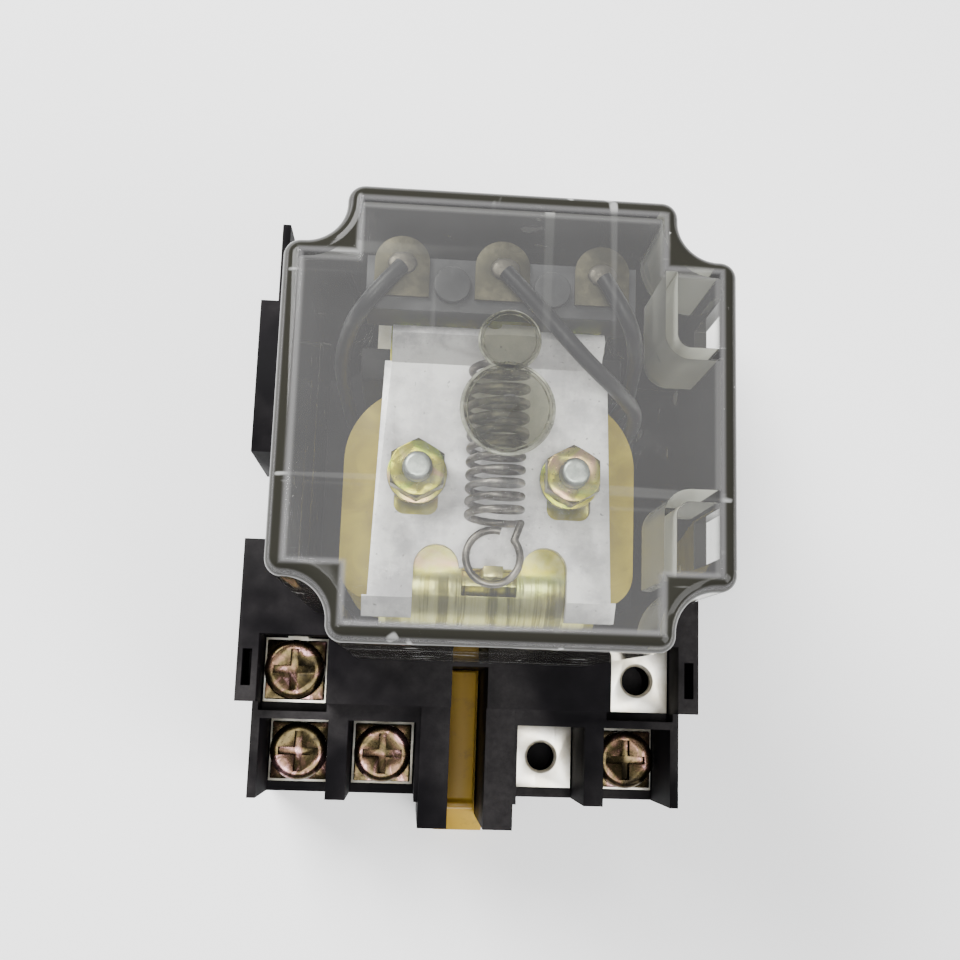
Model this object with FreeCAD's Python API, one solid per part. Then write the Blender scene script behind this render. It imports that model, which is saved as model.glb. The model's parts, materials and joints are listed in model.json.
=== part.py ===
import FreeCAD, Part
import math
import os

# Three-pole plug-in relay standing in a rail-mounting screw socket.
# Millimetres. +Z is the plug axis, pointing up out of the socket; the origin is the middle
# of the socket's footprint on the panel plane. +X runs across the socket and +Y along it,
# away from the rail slider.

os.makedirs("parts", exist_ok=True)
V = FreeCAD.Vector
X_AXIS = V(1, 0, 0)
Y_AXIS = V(0, 1, 0)
Z_AXIS = V(0, 0, 1)

# ------------------------------------------------------------------ driving sizes: socket
socket_length = 70.0
tier_wall = 1.0              # outside the last pocket of the outer tier
shoulder_wall = 2.4          # outside the pockets of the upper tier
shoulder_end = 24.0          # the upper tier runs this far from the middle, each way
recess_half = 5.2            # half length of the screw recess between the two shoulders
recess_floor_rise = 4.0       # above the base plate
extension_width = 11.0       # middle block that runs past the -Y end
extension_reach = 2.8
base_height = 8.0
outer_tier_rise = 14.0        # above the base plate
upper_tier_rise = 17.0
seat_height = 2.0            # raised seat for the relay
edge_round = 0.8

rail_width = 35.0
rail_side_gap = 0.2
rail_thickness = 1.0
rail_lift = 0.2              # play between the rail and the hooks behind it
groove_depth = 5.0
hook_reach = 1.5
hook_thickness = 1.6

panel_hole_radius = 2.25
panel_hole_spacing = 43.0

rivet_radius = 1.25
rivet_head_radius = 2.2
rivet_head_height = 0.8
rivet_side_gap = 4.675       # outside the pin circle
rivet_end_gap = 4.475
rivet_back_x = -2.0          # the +Y rivet stands between two strips

# terminals
terminal_size = 7.6
terminal_thickness = 1.2
near_terminal_x = 10.0
terminal_pitch = 10.3
terminal_front = 1.3         # plate edge back from the end face
outer_plate_rise = 3.3       # above the base plate
inner_plate_rise = 11.5
inner_terminal_x = 20.6
pocket_gap = 0.2
thread_radius = 1.75
plate_chamfer = 0.3
screw_radius = 1.7
screw_head_radius = 3.5
screw_head_height = 2.4
screw_length = 6.2           # below the plate's top face
screw_slot_length = 4.8
screw_slot_width = 0.9
screw_slot_depth = 1.2
clamp_size = 7.0
clamp_thickness = 0.9
strip_width = 2.4
strip_thickness = 0.8
strip_gap = 0.25

# slider
slider_half_width = 3.2
slider_thickness = 3.0
slider_bar_half_width = 1.7
slider_bar_rise = 4.4
slider_bar_start = 19.5
slider_bar_end = 37.0
slider_end = 40.0
slider_gap = 0.25
slider_travel = 4.0
floor_thickness = 1.0

# ------------------------------------------------------------------ driving sizes: plug
pin_count = 11
pin_circle_radius = 9.525
pin_radius = 1.18
pin_length = 11.0
sleeve_clearance = 0.07
sleeve_wall = 0.75
sleeve_depth = 1.0           # below the top of the upper tier
pin_entry_radius = 1.5
key_radius = 3.95
key_length = 13.0
key_clearance = 0.25
key_rib_width = 1.2
key_rib_height = 0.9
seat_gap = 0.1
fixed_fit = 0.02             # around pieces of one body that stay together

# ------------------------------------------------------------------ driving sizes: cover
cover_half = 18.9
cover_wall = 1.2
cover_top_wall = 1.6
cover_headroom = 2.4         # from the studs up to the inside of the cover
cover_notch = 5.0
notch_convex = 1.4
notch_concave = 3.4
cover_edge_round = 1.6
cover_gap = 0.1
base_flange = 1.4
base_boss = 3.6
base_side_gap = 0.2
lens_large_radius = 3.65
lens_large_y = 0.6
lens_small_radius = 2.45
lens_small_y = 6.4
lens_height = 0.7
gate_radius = 0.65
gate_height = 0.25
rib_x = 13.0
rib_thickness = 1.0
rib_end = 5.5
rib_depth = 10.0
rib_round = 2.2
window_start = 6.8
window_end = 11.0
window_height = 9.0

# ------------------------------------------------------------------ driving sizes: mechanism
mechanism_x = -0.6           # the mechanism stands a little to one side of the pins
coil_y = -4.0
yoke_half_width = 8.5
yoke_thickness = 2.0
yoke_front = 5.0
yoke_leg_front = -11.9
yoke_height = 29.65          # from the base to the edge where the armature rocks
armature_angle = 4.0         # degrees from rest to closed
armature_gap = 0.05
armature_thickness = 1.6
armature_half_width = 9.4
armature_front = 13.0
armature_bend_radius = 4.0
armature_leg_drop = 5.75     # below that edge
armature_leg_gap = 1.3       # behind the yoke
lug_half_width = 0.8
lug_thickness = 0.9
lug_inset = 1.1
lug_rise = 6.65
window_half_width = 2.4
core_radius = 4.5
core_gap = 0.05
bobbin_wall = 1.0
bobbin_flange = 1.5
bobbin_half_width = 12.4
bobbin_front = 4.3
bobbin_gap = 0.4             # in front of the yoke leg
bobbin_drop = 2.65           # below the rocking edge
winding_inset = 0.2
tape_side = 0.8              # beside the bobbin
tape_over_bobbin = 0.7
tape_over_yoke = 0.6
tape_round_front = 7.0
tape_round_back = 3.0
tape_lip = 0.5
tape_lip_hole = 7.0
frame_screw_x = 6.0
frame_screw_radius = 1.25
frame_screw_head_radius = 2.1
frame_screw_head_height = 1.6
lead_wire_radius = 0.4

plate_thickness = 1.0
plate_gap = 0.1
plate_half_top = 9.8
plate_half_bottom = 10.4
plate_bend_y = 6.0
plate_overhang = 2.7         # behind the rocking edge
arch_inner = 2.7
arch_outer = 6.6
slot_width = 3.8
slot_low = -7.5
slot_high = -2.0
flange_half = 9.2
flange_rise = 2.9
flange_run = 2.2
foot_run = 1.6
foot_drop = 1.1
foot_extra = 0.45

stud_x = 6.6
stud_y = -4.0
stud_radius = 1.25
stud_rise = 4.5              # above the plate
flat_washer_radius = 2.6
flat_washer_thickness = 0.5
spring_washer_radius = 2.25
spring_washer_thickness = 0.7
nut_across_flats = 4.5
nut_height = 2.0

wire_radius = 0.325
spring_mean_radius = 2.25
spring_rise = 5.45           # axis above the rocking edge
spring_low_y = -8.3
spring_high_y = 5.0
spring_turns = 11.75         # ends on top, where the hook leaves
ring_radius = 2.27
ring_y = -11.24
hook_y = 6.6
hook_hole_gap = 0.12

pole_pitch = 8.6
carrier_half = 11.6
carrier_back = 9.5
carrier_front = 14.2
carrier_height = 4.8
carrier_rivet_radius = 0.9
carrier_rivet_head = 1.6
carrier_rivet_y = 11.8
arm_thickness = 0.4
arm_half_width = 1.8
lobe_radius = 2.35
lobe_y = 13.6
lobe_start_y = 10.6
arm_gap = 0.1
arm_drop = 8.15              # below the rocking edge
contact_y = 11.6
contact_radius = 1.1
contact_height = 0.7
contact_rest_gap = 0.04
contact_rivet_height = 1.1
contact_strip_thickness = 0.6
contact_strip_half = 2.2
contact_strip_front = 13.2
contact_tail_width = 1.6
block_half = 12.2
block_back = 5.9
block_front = 9.0
block_drop = 3.75

lead_radius = 0.7
# Routes of the three flexible leads, from the lobe of each moving arm down to the relay
# base, measured from the middle of the mechanism.
lead_routes = [
    [(-8.6, 13.0, 69.5), (-11.6, 9.4, 70.2), (-13.3, 7.8, 65.0), (-14.2, 7.4, 56.0),
     (-14.2, 7.2, 44.0), (-14.0, 7.2, 32.3)],
    [(0.2, 12.9, 69.5), (3.4, 9.4, 70.2), (7.0, 5.6, 69.6), (10.8, 3.4, 66.5), (13.4, 3.2, 60.0),
     (14.6, 3.6, 48.0), (14.4, 3.6, 32.3)],
    [(8.6, 12.8, 69.5), (10.9, 8.8, 70.4), (12.1, 6.8, 66.0), (13.1, 6.8, 58.0), (14.3, 7.2, 50.0),
     (14.4, 7.4, 42.0), (14.2, 7.2, 32.3)],
]

# ------------------------------------------------------------------ derived heights
outer_tier_top = base_height + outer_tier_rise
upper_tier_top = base_height + upper_tier_rise
recess_floor = base_height + recess_floor_rise
outer_plate_top = base_height + outer_plate_rise
inner_plate_top = base_height + inner_plate_rise
sleeve_top = upper_tier_top - sleeve_depth
seat_top = upper_tier_top + seat_height
relay_bottom = seat_top + seat_gap
flange_top = relay_bottom + base_flange
relay_floor = flange_top + base_boss
cover_bottom = flange_top + cover_gap
groove_half = rail_width / 2 + rail_side_gap
hook_top = groove_depth - rail_thickness - rail_lift
hook_bottom = hook_top - hook_thickness
outer_terminal_x = near_terminal_x + terminal_pitch
outer_terminal_y = socket_length / 2 - terminal_front - terminal_size / 2
inner_terminal_y = shoulder_end - terminal_size / 2
pocket_half = terminal_size / 2 + pocket_gap
tier_width = 2 * (outer_terminal_x + pocket_half + tier_wall)
shoulder_width = 2 * (inner_terminal_x + pocket_half + shoulder_wall)
strip_bottom = outer_plate_top - terminal_thickness
strip_top = strip_bottom + strip_thickness
slider_bottom = floor_thickness + 0.2
slider_top = slider_bottom + slider_thickness
rivet_side_x = pin_circle_radius + rivet_side_gap
rivet_end_y = pin_circle_radius + rivet_end_gap
sleeve_bore = pin_radius + sleeve_clearance
sleeve_radius = sleeve_bore + sleeve_wall
hinge_height = relay_floor + yoke_height
armature_bottom = hinge_height + armature_gap
armature_top = armature_bottom + armature_thickness
plate_bottom = armature_top + plate_gap
plate_top = plate_bottom + plate_thickness
plate_end_y = yoke_leg_front - plate_overhang
stud_top = plate_top + stud_rise
cover_top = stud_top + cover_headroom + cover_top_wall
spring_height = hinge_height + spring_rise
closing_slope = math.tan(math.radians(armature_angle))
core_front = coil_y + core_radius
core_top = armature_bottom - (core_front - yoke_leg_front) * closing_slope - core_gap
yoke_back = yoke_leg_front - yoke_thickness
yoke_floor = relay_floor + yoke_thickness
armature_leg_bottom = hinge_height - armature_leg_drop
armature_leg_back = yoke_back - armature_leg_gap - armature_thickness
lug_back = yoke_leg_front - lug_inset
lug_top = hinge_height + lug_rise
bobbin_back = yoke_leg_front + bobbin_gap
bobbin_bottom = yoke_floor + 0.2
bobbin_top = hinge_height - bobbin_drop
tape_half_width = bobbin_half_width + tape_side
tape_front = bobbin_front + tape_over_bobbin
tape_back = yoke_back - tape_over_yoke
carrier_bottom = armature_top
carrier_top = carrier_bottom + carrier_height
arm_bottom = hinge_height - arm_drop
block_top = hinge_height - block_drop
closing_drop = (contact_y + contact_radius - yoke_leg_front) * math.sin(math.radians(armature_angle))


# ------------------------------------------------------------------ shape helpers
def block(x0, x1, y0, y1, z0, z1):
    return Part.makeBox(x1 - x0, y1 - y0, z1 - z0, V(x0, y0, z0))


def centred(cx, cy, half_x, half_y, z0, z1):
    return block(cx - half_x, cx + half_x, cy - half_y, cy + half_y, z0, z1)


def post(x, y, radius, z0, z1):
    return Part.makeCylinder(radius, z1 - z0, V(x, y, z0), Z_AXIS)


def tube(x, y, outer, inner, z0, z1):
    return post(x, y, outer, z0, z1).cut(post(x, y, inner, z0 - 1, z1 + 1))


def fused(shapes):
    whole = shapes[0]
    if len(shapes) > 1:
        whole = whole.fuse(shapes[1:])
    return whole.removeSplitter()


def prism_x(points, x0, x1):
    """Closed outline of (y, z) points, pushed from x0 to x1."""
    corners = [V(x0, y, z) for y, z in points]
    face = Part.Face(Part.makePolygon(corners + corners[:1]))
    return face.extrude(V(x1 - x0, 0, 0))


def upright_edges(shape, places):
    """Vertical edges whose (x, y) is one of the places."""
    found = []
    for edge in shape.Edges:
        ends = [v.Point for v in edge.Vertexes]
        if len(ends) != 2 or abs(ends[0].x - ends[1].x) + abs(ends[0].y - ends[1].y) > 1e-6:
            continue
        if any(abs(ends[0].x - x) + abs(ends[0].y - y) < 1e-4 for x, y in places):
            found.append(edge)
    return found


def rounded_block(x0, x1, y0, y1, z0, z1, back_round, front_round):
    """Block whose two -Y and two +Y upright edges are rounded."""
    shape = block(x0, x1, y0, y1, z0, z1)
    shape = shape.makeFillet(back_round, upright_edges(shape, [(x0, y0), (x1, y0)]))
    return shape.makeFillet(front_round, upright_edges(shape, [(x0, y1), (x1, y1)]))


def notched(half, notch, z0, z1, convex, concave):
    """Square column with a step taken out of each corner, its upright edges rounded."""
    inner = half - notch
    shape = fused([block(-half, half, -inner, inner, z0, z1), block(-inner, inner, -half, half, z0, z1)])
    signs = [(sx, sy) for sx in (-1, 1) for sy in (-1, 1)]
    steps = [(sx * inner, sy * inner) for sx, sy in signs]
    tips = [(sx * half, sy * inner) for sx, sy in signs] + [(sx * inner, sy * half) for sx, sy in signs]
    shape = shape.makeFillet(concave, upright_edges(shape, steps))
    return shape.makeFillet(convex, upright_edges(shape, tips))


def moved(shape):
    """Place a mechanism piece at the mechanism's own middle line."""
    copy = shape.copy()
    copy.translate(V(mechanism_x, 0, 0))
    return copy


def save(name, shapes):
    """Write one node; a list of loose pieces stays a group of separate solids."""
    if not isinstance(shapes, list):
        shapes = [shapes]
    solids = [solid for shape in shapes for solid in shape.Solids]
    for solid in solids:
        if not solid.isValid():
            print("invalid solid in", name)
    result = solids[0] if len(solids) == 1 else Part.makeCompound(solids)
    result.exportStep("parts/" + name + ".step")
    print(name, len(solids), round(result.Volume, 2))


# ------------------------------------------------------------------ terminal layout
def pin_angles(side, count):
    """Angles of the pins on one side (-1 or +1 along Y), from -X to +X."""
    step = 360.0 / pin_count
    middle = 90.0 * side
    offsets = [(i - (count - 1) / 2) * step for i in range(count)]
    return [middle - side * offset for offset in offsets]


def pin_place(angle):
    turn = math.radians(angle)
    return pin_circle_radius * math.cos(turn), pin_circle_radius * math.sin(turn)


def terminal_list():
    """(x, y, plate top, side, has a screw, pin place) of the eleven terminals."""
    outer = [(-outer_terminal_x, True), (-near_terminal_x, True), (near_terminal_x, False), (outer_terminal_x, True)]
    front = [(-inner_terminal_x, -inner_terminal_y, inner_plate_top, -1, True)]
    front += [(x, -outer_terminal_y, outer_plate_top, -1, screw) for x, screw in outer]
    front += [(inner_terminal_x, -inner_terminal_y, inner_plate_top, -1, False)]
    back = [(x, outer_terminal_y, outer_plate_top, 1, True) for x, screw in outer]
    back += [(inner_terminal_x, inner_terminal_y, inner_plate_top, 1, True)]
    places = [pin_place(a) for a in pin_angles(-1, len(front))[::-1]] + [pin_place(a) for a in pin_angles(1, len(back))]
    if places[0][0] > 0:
        places[:len(front)] = places[:len(front)][::-1]
    if places[len(front)][0] > 0:
        places[len(front):] = places[len(front):][::-1]
    return [row + (place,) for row, place in zip(front + back, places)]


terminals = terminal_list()


def strip_run(start, end, half_width, z0, z1):
    """Flat bar between two plan points, with a round end at the start."""
    length = math.hypot(end[0] - start[0], end[1] - start[1])
    angle = math.degrees(math.atan2(end[1] - start[1], end[0] - start[0]))
    bar = block(0, length, -half_width, half_width, z0, z1)
    bar.rotate(V(0, 0, 0), Z_AXIS, angle)
    bar.translate(V(start[0], start[1], 0))
    return bar


def strip_shape(terminal, grow, z0, z1):
    """Flat run from a pin to its terminal, in the plane of the strips."""
    x, y, top, side, screw, pin = terminal
    if top == inner_plate_top:
        end = (x, y - side * (terminal_size / 2 + strip_thickness / 2))
    else:
        end = (x, y - side * (terminal_size / 2 - strip_width / 2))
    pieces = [strip_run(pin, end, strip_width / 2 + grow, z0, z1)]
    pieces.append(post(pin[0], pin[1], sleeve_radius + grow, z0, z1))
    pieces.append(post(end[0], end[1], strip_width / 2 + grow, z0, z1))
    return fused(pieces)


def riser(terminal, grow, z0, z1):
    x, y, top, side, screw, pin = terminal
    edge = y - side * terminal_size / 2
    low, high = sorted((edge, edge - side * strip_thickness))
    return block(x - strip_width / 2 - grow, x + strip_width / 2 + grow, low - grow, high + grow, z0, z1)


def is_inner(terminal):
    return terminal[2] == inner_plate_top


# ------------------------------------------------------------------ socket pieces
def socket_outline(z0, z1):
    half = tier_width / 2
    end = socket_length / 2
    pieces = [block(-half, half, -end, end, z0, z1)]
    ext = extension_width / 2
    pieces.append(block(-ext, ext, -end - extension_reach, -end + 1, z0, z1))
    return fused(pieces)


def slider_channel():
    """Space for the slider and its travel, through the base plate."""
    far = socket_length / 2 + extension_reach + 1
    wide = slider_half_width + slider_gap
    low = block(-wide, wide, -far, -groove_half + 0.01, floor_thickness, slider_top + slider_gap)
    bar = slider_bar_half_width + 0.4
    high = block(-bar, bar, -far, -slider_bar_start + slider_gap, floor_thickness, upper_tier_top + 5)
    return low.fuse(high)


def rivet_places():
    return [(0, -rivet_end_y), (rivet_back_x, rivet_end_y), (-rivet_side_x, 0), (rivet_side_x, 0)]


def panel_places():
    return [(-panel_hole_spacing / 2, 0), (panel_hole_spacing / 2, 0)]


def make_socket_base_plate():
    shape = socket_outline(0, base_height)
    wide = tier_width
    shape = shape.cut(block(-wide, wide, -groove_half, groove_half, -1, groove_depth))
    hook = prism_x([(groove_half - hook_reach, hook_bottom + 0.5), (groove_half - hook_reach + 0.5, hook_bottom),
                    (groove_half + 0.1, hook_bottom), (groove_half + 0.1, hook_top),
                    (groove_half - hook_reach, hook_top)], -tier_width / 2, tier_width / 2)
    shape = shape.fuse(hook).removeSplitter()
    shape = shape.cut(slider_channel())
    for x, y in panel_places():
        shape = shape.cut(post(x, y, panel_hole_radius, -1, base_height + 1))
    for x, y in rivet_places():
        shape = shape.cut(post(x, y, rivet_radius + fixed_fit, -1, base_height + 1))
        shape = shape.cut(post(x, y, rivet_head_radius + 0.2, -1, groove_depth + rivet_head_height + 0.2))
    for terminal in terminals:
        if not is_inner(terminal):
            hole_bottom = outer_plate_top - screw_length - 1
            shape = shape.cut(post(terminal[0], terminal[1], screw_radius + 0.4, hole_bottom, base_height + 1))
    return shape


def make_socket_body():
    half = tier_width / 2
    end = socket_length / 2
    shape = socket_outline(base_height, outer_tier_top)
    wing = shoulder_width / 2
    upper = block(-wing, wing, -shoulder_end, shoulder_end, base_height, upper_tier_top)
    ext = extension_width / 2
    spine = block(-ext, ext, -end - extension_reach, -shoulder_end + 1, base_height, outer_tier_top + 1.5)
    seat_half = cover_half - 0.9
    seat = notched(seat_half, cover_notch, upper_tier_top - 1, seat_top, notch_convex, notch_concave)
    shape = fused([shape, upper, spine, seat])
    for side in (-1, 1):
        near, far = sorted((side * (cover_half + 0.1), side * (wing + 1)))
        shape = shape.cut(block(near, far, -recess_half, recess_half, recess_floor, seat_top + 1))
        near, far = sorted((side * half, side * (wing + 1)))
        shape = shape.cut(block(near, far, -recess_half, recess_half, 0, seat_top + 1))
    shape = shape.cut(slider_channel())
    for terminal in terminals:
        x, y, top, side, screw, pin = terminal
        floor = top - terminal_thickness
        back = y - side * pocket_half
        front = side * (shoulder_end + 1) if is_inner(terminal) else side * (end + 1)
        low, high = sorted((back, front))
        shape = shape.cut(block(x - pocket_half, x + pocket_half, low, high, floor, seat_top + 3))
        shape = shape.cut(strip_shape(terminal, strip_gap, base_height - 1, strip_top + strip_gap))
        shape = shape.cut(post(pin[0], pin[1], sleeve_radius + fixed_fit, base_height - 1, sleeve_top + 0.1))
        shape = shape.cut(post(pin[0], pin[1], pin_entry_radius, sleeve_top, seat_top + 1))
        hole_bottom = max(top - screw_length - 1, base_height - 1)
        shape = shape.cut(post(x, y, screw_radius + 0.4, hole_bottom, floor + 1))
        if is_inner(terminal):
            shape = shape.cut(riser(terminal, strip_gap, base_height - 1, inner_plate_top + strip_gap))
            slot_in = x + math.copysign(pocket_half + 0.7, x)
            near, far = sorted((slot_in, slot_in + math.copysign(1.1, x)))
            shape = shape.cut(block(near, far, y - 2.0, y + 2.2, inner_plate_top - 1, seat_top))
    shape = shape.cut(post(0, 0, key_radius + key_clearance, base_height - 1, seat_top + 1))
    slot_half = key_rib_width / 2 + key_clearance
    slot_reach = key_radius + key_rib_height + key_clearance
    shape = shape.cut(block(-slot_half, slot_half, -slot_reach, 0, base_height - 1, seat_top + 1))
    for x, y in panel_places():
        shape = shape.cut(post(x, y, panel_hole_radius, base_height - 1, recess_floor + 1))
    for x, y in rivet_places():
        shape = shape.cut(post(x, y, rivet_radius + fixed_fit, base_height - 1, seat_top + 1))
        shape = shape.cut(post(x, y, rivet_head_radius + 0.2, seat_top - rivet_head_height - 0.2, seat_top + 1))
    return shape


def make_socket_rivets():
    low = groove_depth + 0.2
    high = seat_top - 0.2
    rivets = []
    for x, y in rivet_places():
        shank = post(x, y, rivet_radius, low, high)
        lower = post(x, y, rivet_head_radius, low, low + rivet_head_height)
        upper = post(x, y, rivet_head_radius, high - rivet_head_height, high)
        rivets.append(fused([shank, lower, upper]))
    return rivets


def make_terminal_strips():
    strips = []
    for terminal in terminals:
        x, y, top, side, screw, pin = terminal
        half = terminal_size / 2
        plate = centred(x, y, half, half, top - terminal_thickness, top)
        pieces = [plate, strip_shape(terminal, 0, strip_bottom, strip_top)]
        if is_inner(terminal):
            pieces.append(riser(terminal, 0, strip_bottom, top))
        shape = fused(pieces)
        shape = shape.cut(post(x, y, thread_radius, top - terminal_thickness - 1, top + 1))
        cone = Part.makeCone(thread_radius, thread_radius + plate_chamfer, plate_chamfer, V(x, y, top - plate_chamfer))
        shape = shape.cut(cone)
        shape = shape.cut(post(pin[0], pin[1], sleeve_bore, strip_bottom - 1, strip_top + 1))
        strips.append(shape)
    return strips


def make_pin_sleeves():
    return [tube(t[5][0], t[5][1], sleeve_radius, sleeve_bore, strip_top, sleeve_top) for t in terminals]


def make_terminal_screws():
    screws = []
    for x, y, top, side, screw, pin in terminals:
        if not screw:
            continue
        under_head = top + clamp_thickness
        head_top = under_head + screw_head_height
        head = post(x, y, screw_head_radius, under_head, head_top)
        rim = [e for e in head.Edges if len(e.Vertexes) == 1 and abs(e.Vertexes[0].Z - head_top) < 1e-6]
        head = head.makeFillet(screw_head_height / 3, rim)
        shank = post(x, y, screw_radius, top - screw_length, under_head)
        shape = fused([head, shank])
        long_half = screw_slot_length / 2
        thin_half = screw_slot_width / 2
        floor = head_top - screw_slot_depth
        shape = shape.cut(centred(x, y, long_half, thin_half, floor, head_top + 1))
        shape = shape.cut(centred(x, y, thin_half, long_half, floor, head_top + 1))
        screws.append(shape)
    return screws


def make_terminal_clamps():
    clamps = []
    for x, y, top, side, screw, pin in terminals:
        if screw:
            half = clamp_size / 2
            shape = centred(x, y, half, half, top, top + clamp_thickness)
            clamps.append(shape.cut(post(x, y, screw_radius + 0.1, top - 1, top + clamp_thickness + 1)))
    return clamps


def make_rail_slider():
    nose = -groove_half + hook_reach
    body = block(-slider_half_width, slider_half_width, -slider_end, -groove_half, slider_bottom, slider_top)
    tongue = prism_x([(-groove_half - 0.1, hook_bottom), (nose - 0.5, hook_bottom), (nose, hook_bottom + 0.5),
                      (nose, hook_top), (-groove_half - 0.1, hook_top)], -slider_half_width, slider_half_width)
    bar_top = slider_top + slider_bar_rise
    bar = prism_x([(-slider_bar_start, slider_top - 0.1), (-slider_bar_start, bar_top),
                   (-slider_bar_end + 1.4, bar_top), (-slider_bar_end + 1.0, bar_top + 0.7),
                   (-slider_bar_end + 0.4, bar_top + 0.7), (-slider_bar_end, bar_top - 1.6),
                   (-slider_bar_end, slider_top - 0.1)], -slider_bar_half_width, slider_bar_half_width)
    tab_cut = prism_x([(-slider_end - 0.1, slider_top + 0.1), (-slider_bar_end, slider_top + 0.1),
                       (-slider_end - 0.1, slider_top - 1.1)], -slider_half_width - 1, slider_half_width + 1)
    return fused([body, tongue, bar]).cut(tab_cut)


# ------------------------------------------------------------------ relay base and cover
def make_relay_base():
    flange = notched(cover_half, cover_notch, relay_bottom, flange_top, notch_convex, notch_concave)
    inner_half = cover_half - cover_wall - base_side_gap
    boss = notched(inner_half, cover_notch, flange_top - 0.5, relay_floor, 0.3, notch_concave + cover_wall)
    shape = fused([flange, boss])
    for terminal in terminals:
        pin = terminal[5]
        shape = shape.cut(post(pin[0], pin[1], pin_radius + fixed_fit, relay_bottom - 1, relay_floor + 1))
    for side in (-1, 1):
        x = side * frame_screw_x
        shape = shape.cut(post(x, 0, frame_screw_radius + fixed_fit, relay_bottom - 1, relay_floor + 1))
        shape = shape.cut(post(x, 0, frame_screw_head_radius + 0.1, relay_bottom - 1,
                               relay_bottom + frame_screw_head_height + 0.1))
    return shape


def make_relay_key():
    """Middle post of the base, with the rib that keys the relay to its socket."""
    key_bottom = relay_bottom - key_length
    rib_half = key_rib_width / 2
    rib = block(-rib_half, rib_half, -key_radius - key_rib_height, 0, key_bottom, relay_bottom)
    return fused([post(0, 0, key_radius, key_bottom, relay_bottom), rib])


def make_relay_pins():
    pins = []
    for terminal in terminals:
        x, y = terminal[5]
        pin = post(x, y, pin_radius, relay_bottom - pin_length, relay_floor)
        end = [e for e in pin.Edges if len(e.Vertexes) == 1 and e.Vertexes[0].Z < relay_bottom]
        pins.append(pin.makeFillet(pin_radius * 0.6, end))
    return pins


def make_frame_screws():
    screws = []
    for side in (-1, 1):
        x = side * frame_screw_x
        head_bottom = relay_bottom + 0.1
        head = post(x, 0, frame_screw_head_radius, head_bottom, head_bottom + frame_screw_head_height)
        shank = post(x, 0, frame_screw_radius, head_bottom, yoke_floor - 0.1)
        slot = centred(x, 0, frame_screw_head_radius + 1, 0.35, head_bottom - 1, head_bottom + 0.6)
        screws.append(fused([head, shank]).cut(slot))
    return screws


def cover_rib(side):
    """Corner pocket rib inside the +X wall; side is +1 or -1 along Y."""
    inner_wall = cover_half - cover_wall
    near = rib_end
    far = cover_half - cover_notch - cover_wall + 0.4
    top = cover_top - cover_top_wall + 0.1
    low = top - rib_depth
    outer = block(rib_x, inner_wall + 0.2, near, far, low, top)
    outer = outer.makeFillet(rib_round, upright_edges(outer, [(rib_x, near)]))
    inner = block(rib_x + rib_thickness, inner_wall + 1, near + rib_thickness, far + 1, low - 1, top + 1)
    corner = [(rib_x + rib_thickness, near + rib_thickness)]
    inner = inner.makeFillet(rib_round - rib_thickness, upright_edges(inner, corner))
    rib = outer.cut(inner)
    if side < 0:
        rib = rib.mirror(V(0, 0, 0), Y_AXIS)
    return rib


def make_cover():
    outer = notched(cover_half, cover_notch, cover_bottom, cover_top, notch_convex, notch_concave)
    rim = [e for e in outer.Edges if all(abs(v.Z - cover_top) < 1e-6 for v in e.Vertexes)]
    outer = outer.makeFillet(cover_edge_round, rim)
    ceiling = cover_top - cover_top_wall
    cavity = notched(cover_half - cover_wall, cover_notch, cover_bottom - 1, ceiling, 0.3, notch_concave + cover_wall)
    shell = outer.cut(cavity)
    lenses = [post(0, lens_large_y, lens_large_radius, ceiling - lens_height, ceiling + 0.1),
              post(0, lens_small_y, lens_small_radius, ceiling - lens_height, ceiling + 0.1)]
    gate = post(0, lens_large_y, gate_radius, cover_top - 0.5, cover_top + gate_height)
    shell = fused([shell, gate, cover_rib(1), cover_rib(-1)] + lenses)
    for low, high in ((window_start, window_end), (-window_end, -window_start)):
        wall_in = cover_half - cover_wall - 0.1
        window_top = ceiling - 0.8
        shell = shell.cut(block(wall_in, cover_half + 1, low, high, window_top - window_height, window_top))
    return shell


# ------------------------------------------------------------------ magnet
def make_yoke():
    wide = yoke_half_width
    floor = block(-wide, wide, yoke_back, yoke_front, relay_floor, yoke_floor)
    leg = block(-wide, wide, yoke_back, yoke_leg_front, relay_floor, hinge_height)
    bevel = 0.8
    leg = leg.cut(prism_x([(yoke_back - 0.1, hinge_height - bevel), (yoke_back - 0.1, hinge_height + 0.1),
                           (yoke_back + bevel, hinge_height + 0.1)], -wide - 1, wide + 1))
    lug = block(-lug_half_width, lug_half_width, lug_back, lug_back + lug_thickness, hinge_height - 1, lug_top)
    shape = fused([floor, leg, lug])
    for side in (-1, 1):
        x = side * frame_screw_x - mechanism_x
        shape = shape.cut(post(x, 0, frame_screw_radius + fixed_fit, relay_floor - 1, yoke_floor + 1))
    return shape


def make_core():
    return post(0, coil_y, core_radius, yoke_floor, core_top)


def coil_outline(inset, z0, z1):
    wide = bobbin_half_width - inset
    front = bobbin_front - inset
    back = bobbin_back + inset
    return rounded_block(-wide, wide, back, front, z0, z1, tape_round_back - inset, tape_round_front - inset)


def make_bobbin():
    bore = post(0, coil_y, core_radius + 0.1, bobbin_bottom - 1, bobbin_top + 1)
    barrel = post(0, coil_y, core_radius + 0.1 + bobbin_wall, bobbin_bottom, bobbin_top)
    low = coil_outline(0, bobbin_bottom, bobbin_bottom + bobbin_flange)
    high = coil_outline(0, bobbin_top - bobbin_flange, bobbin_top)
    return fused([barrel, low, high]).cut(bore)


def make_coil_winding():
    low = bobbin_bottom + bobbin_flange + 0.05
    high = bobbin_top - bobbin_flange - 0.05
    body = coil_outline(winding_inset, low, high)
    return body.cut(post(0, coil_y, core_radius + bobbin_wall + 0.15, low - 1, high + 1))


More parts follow.
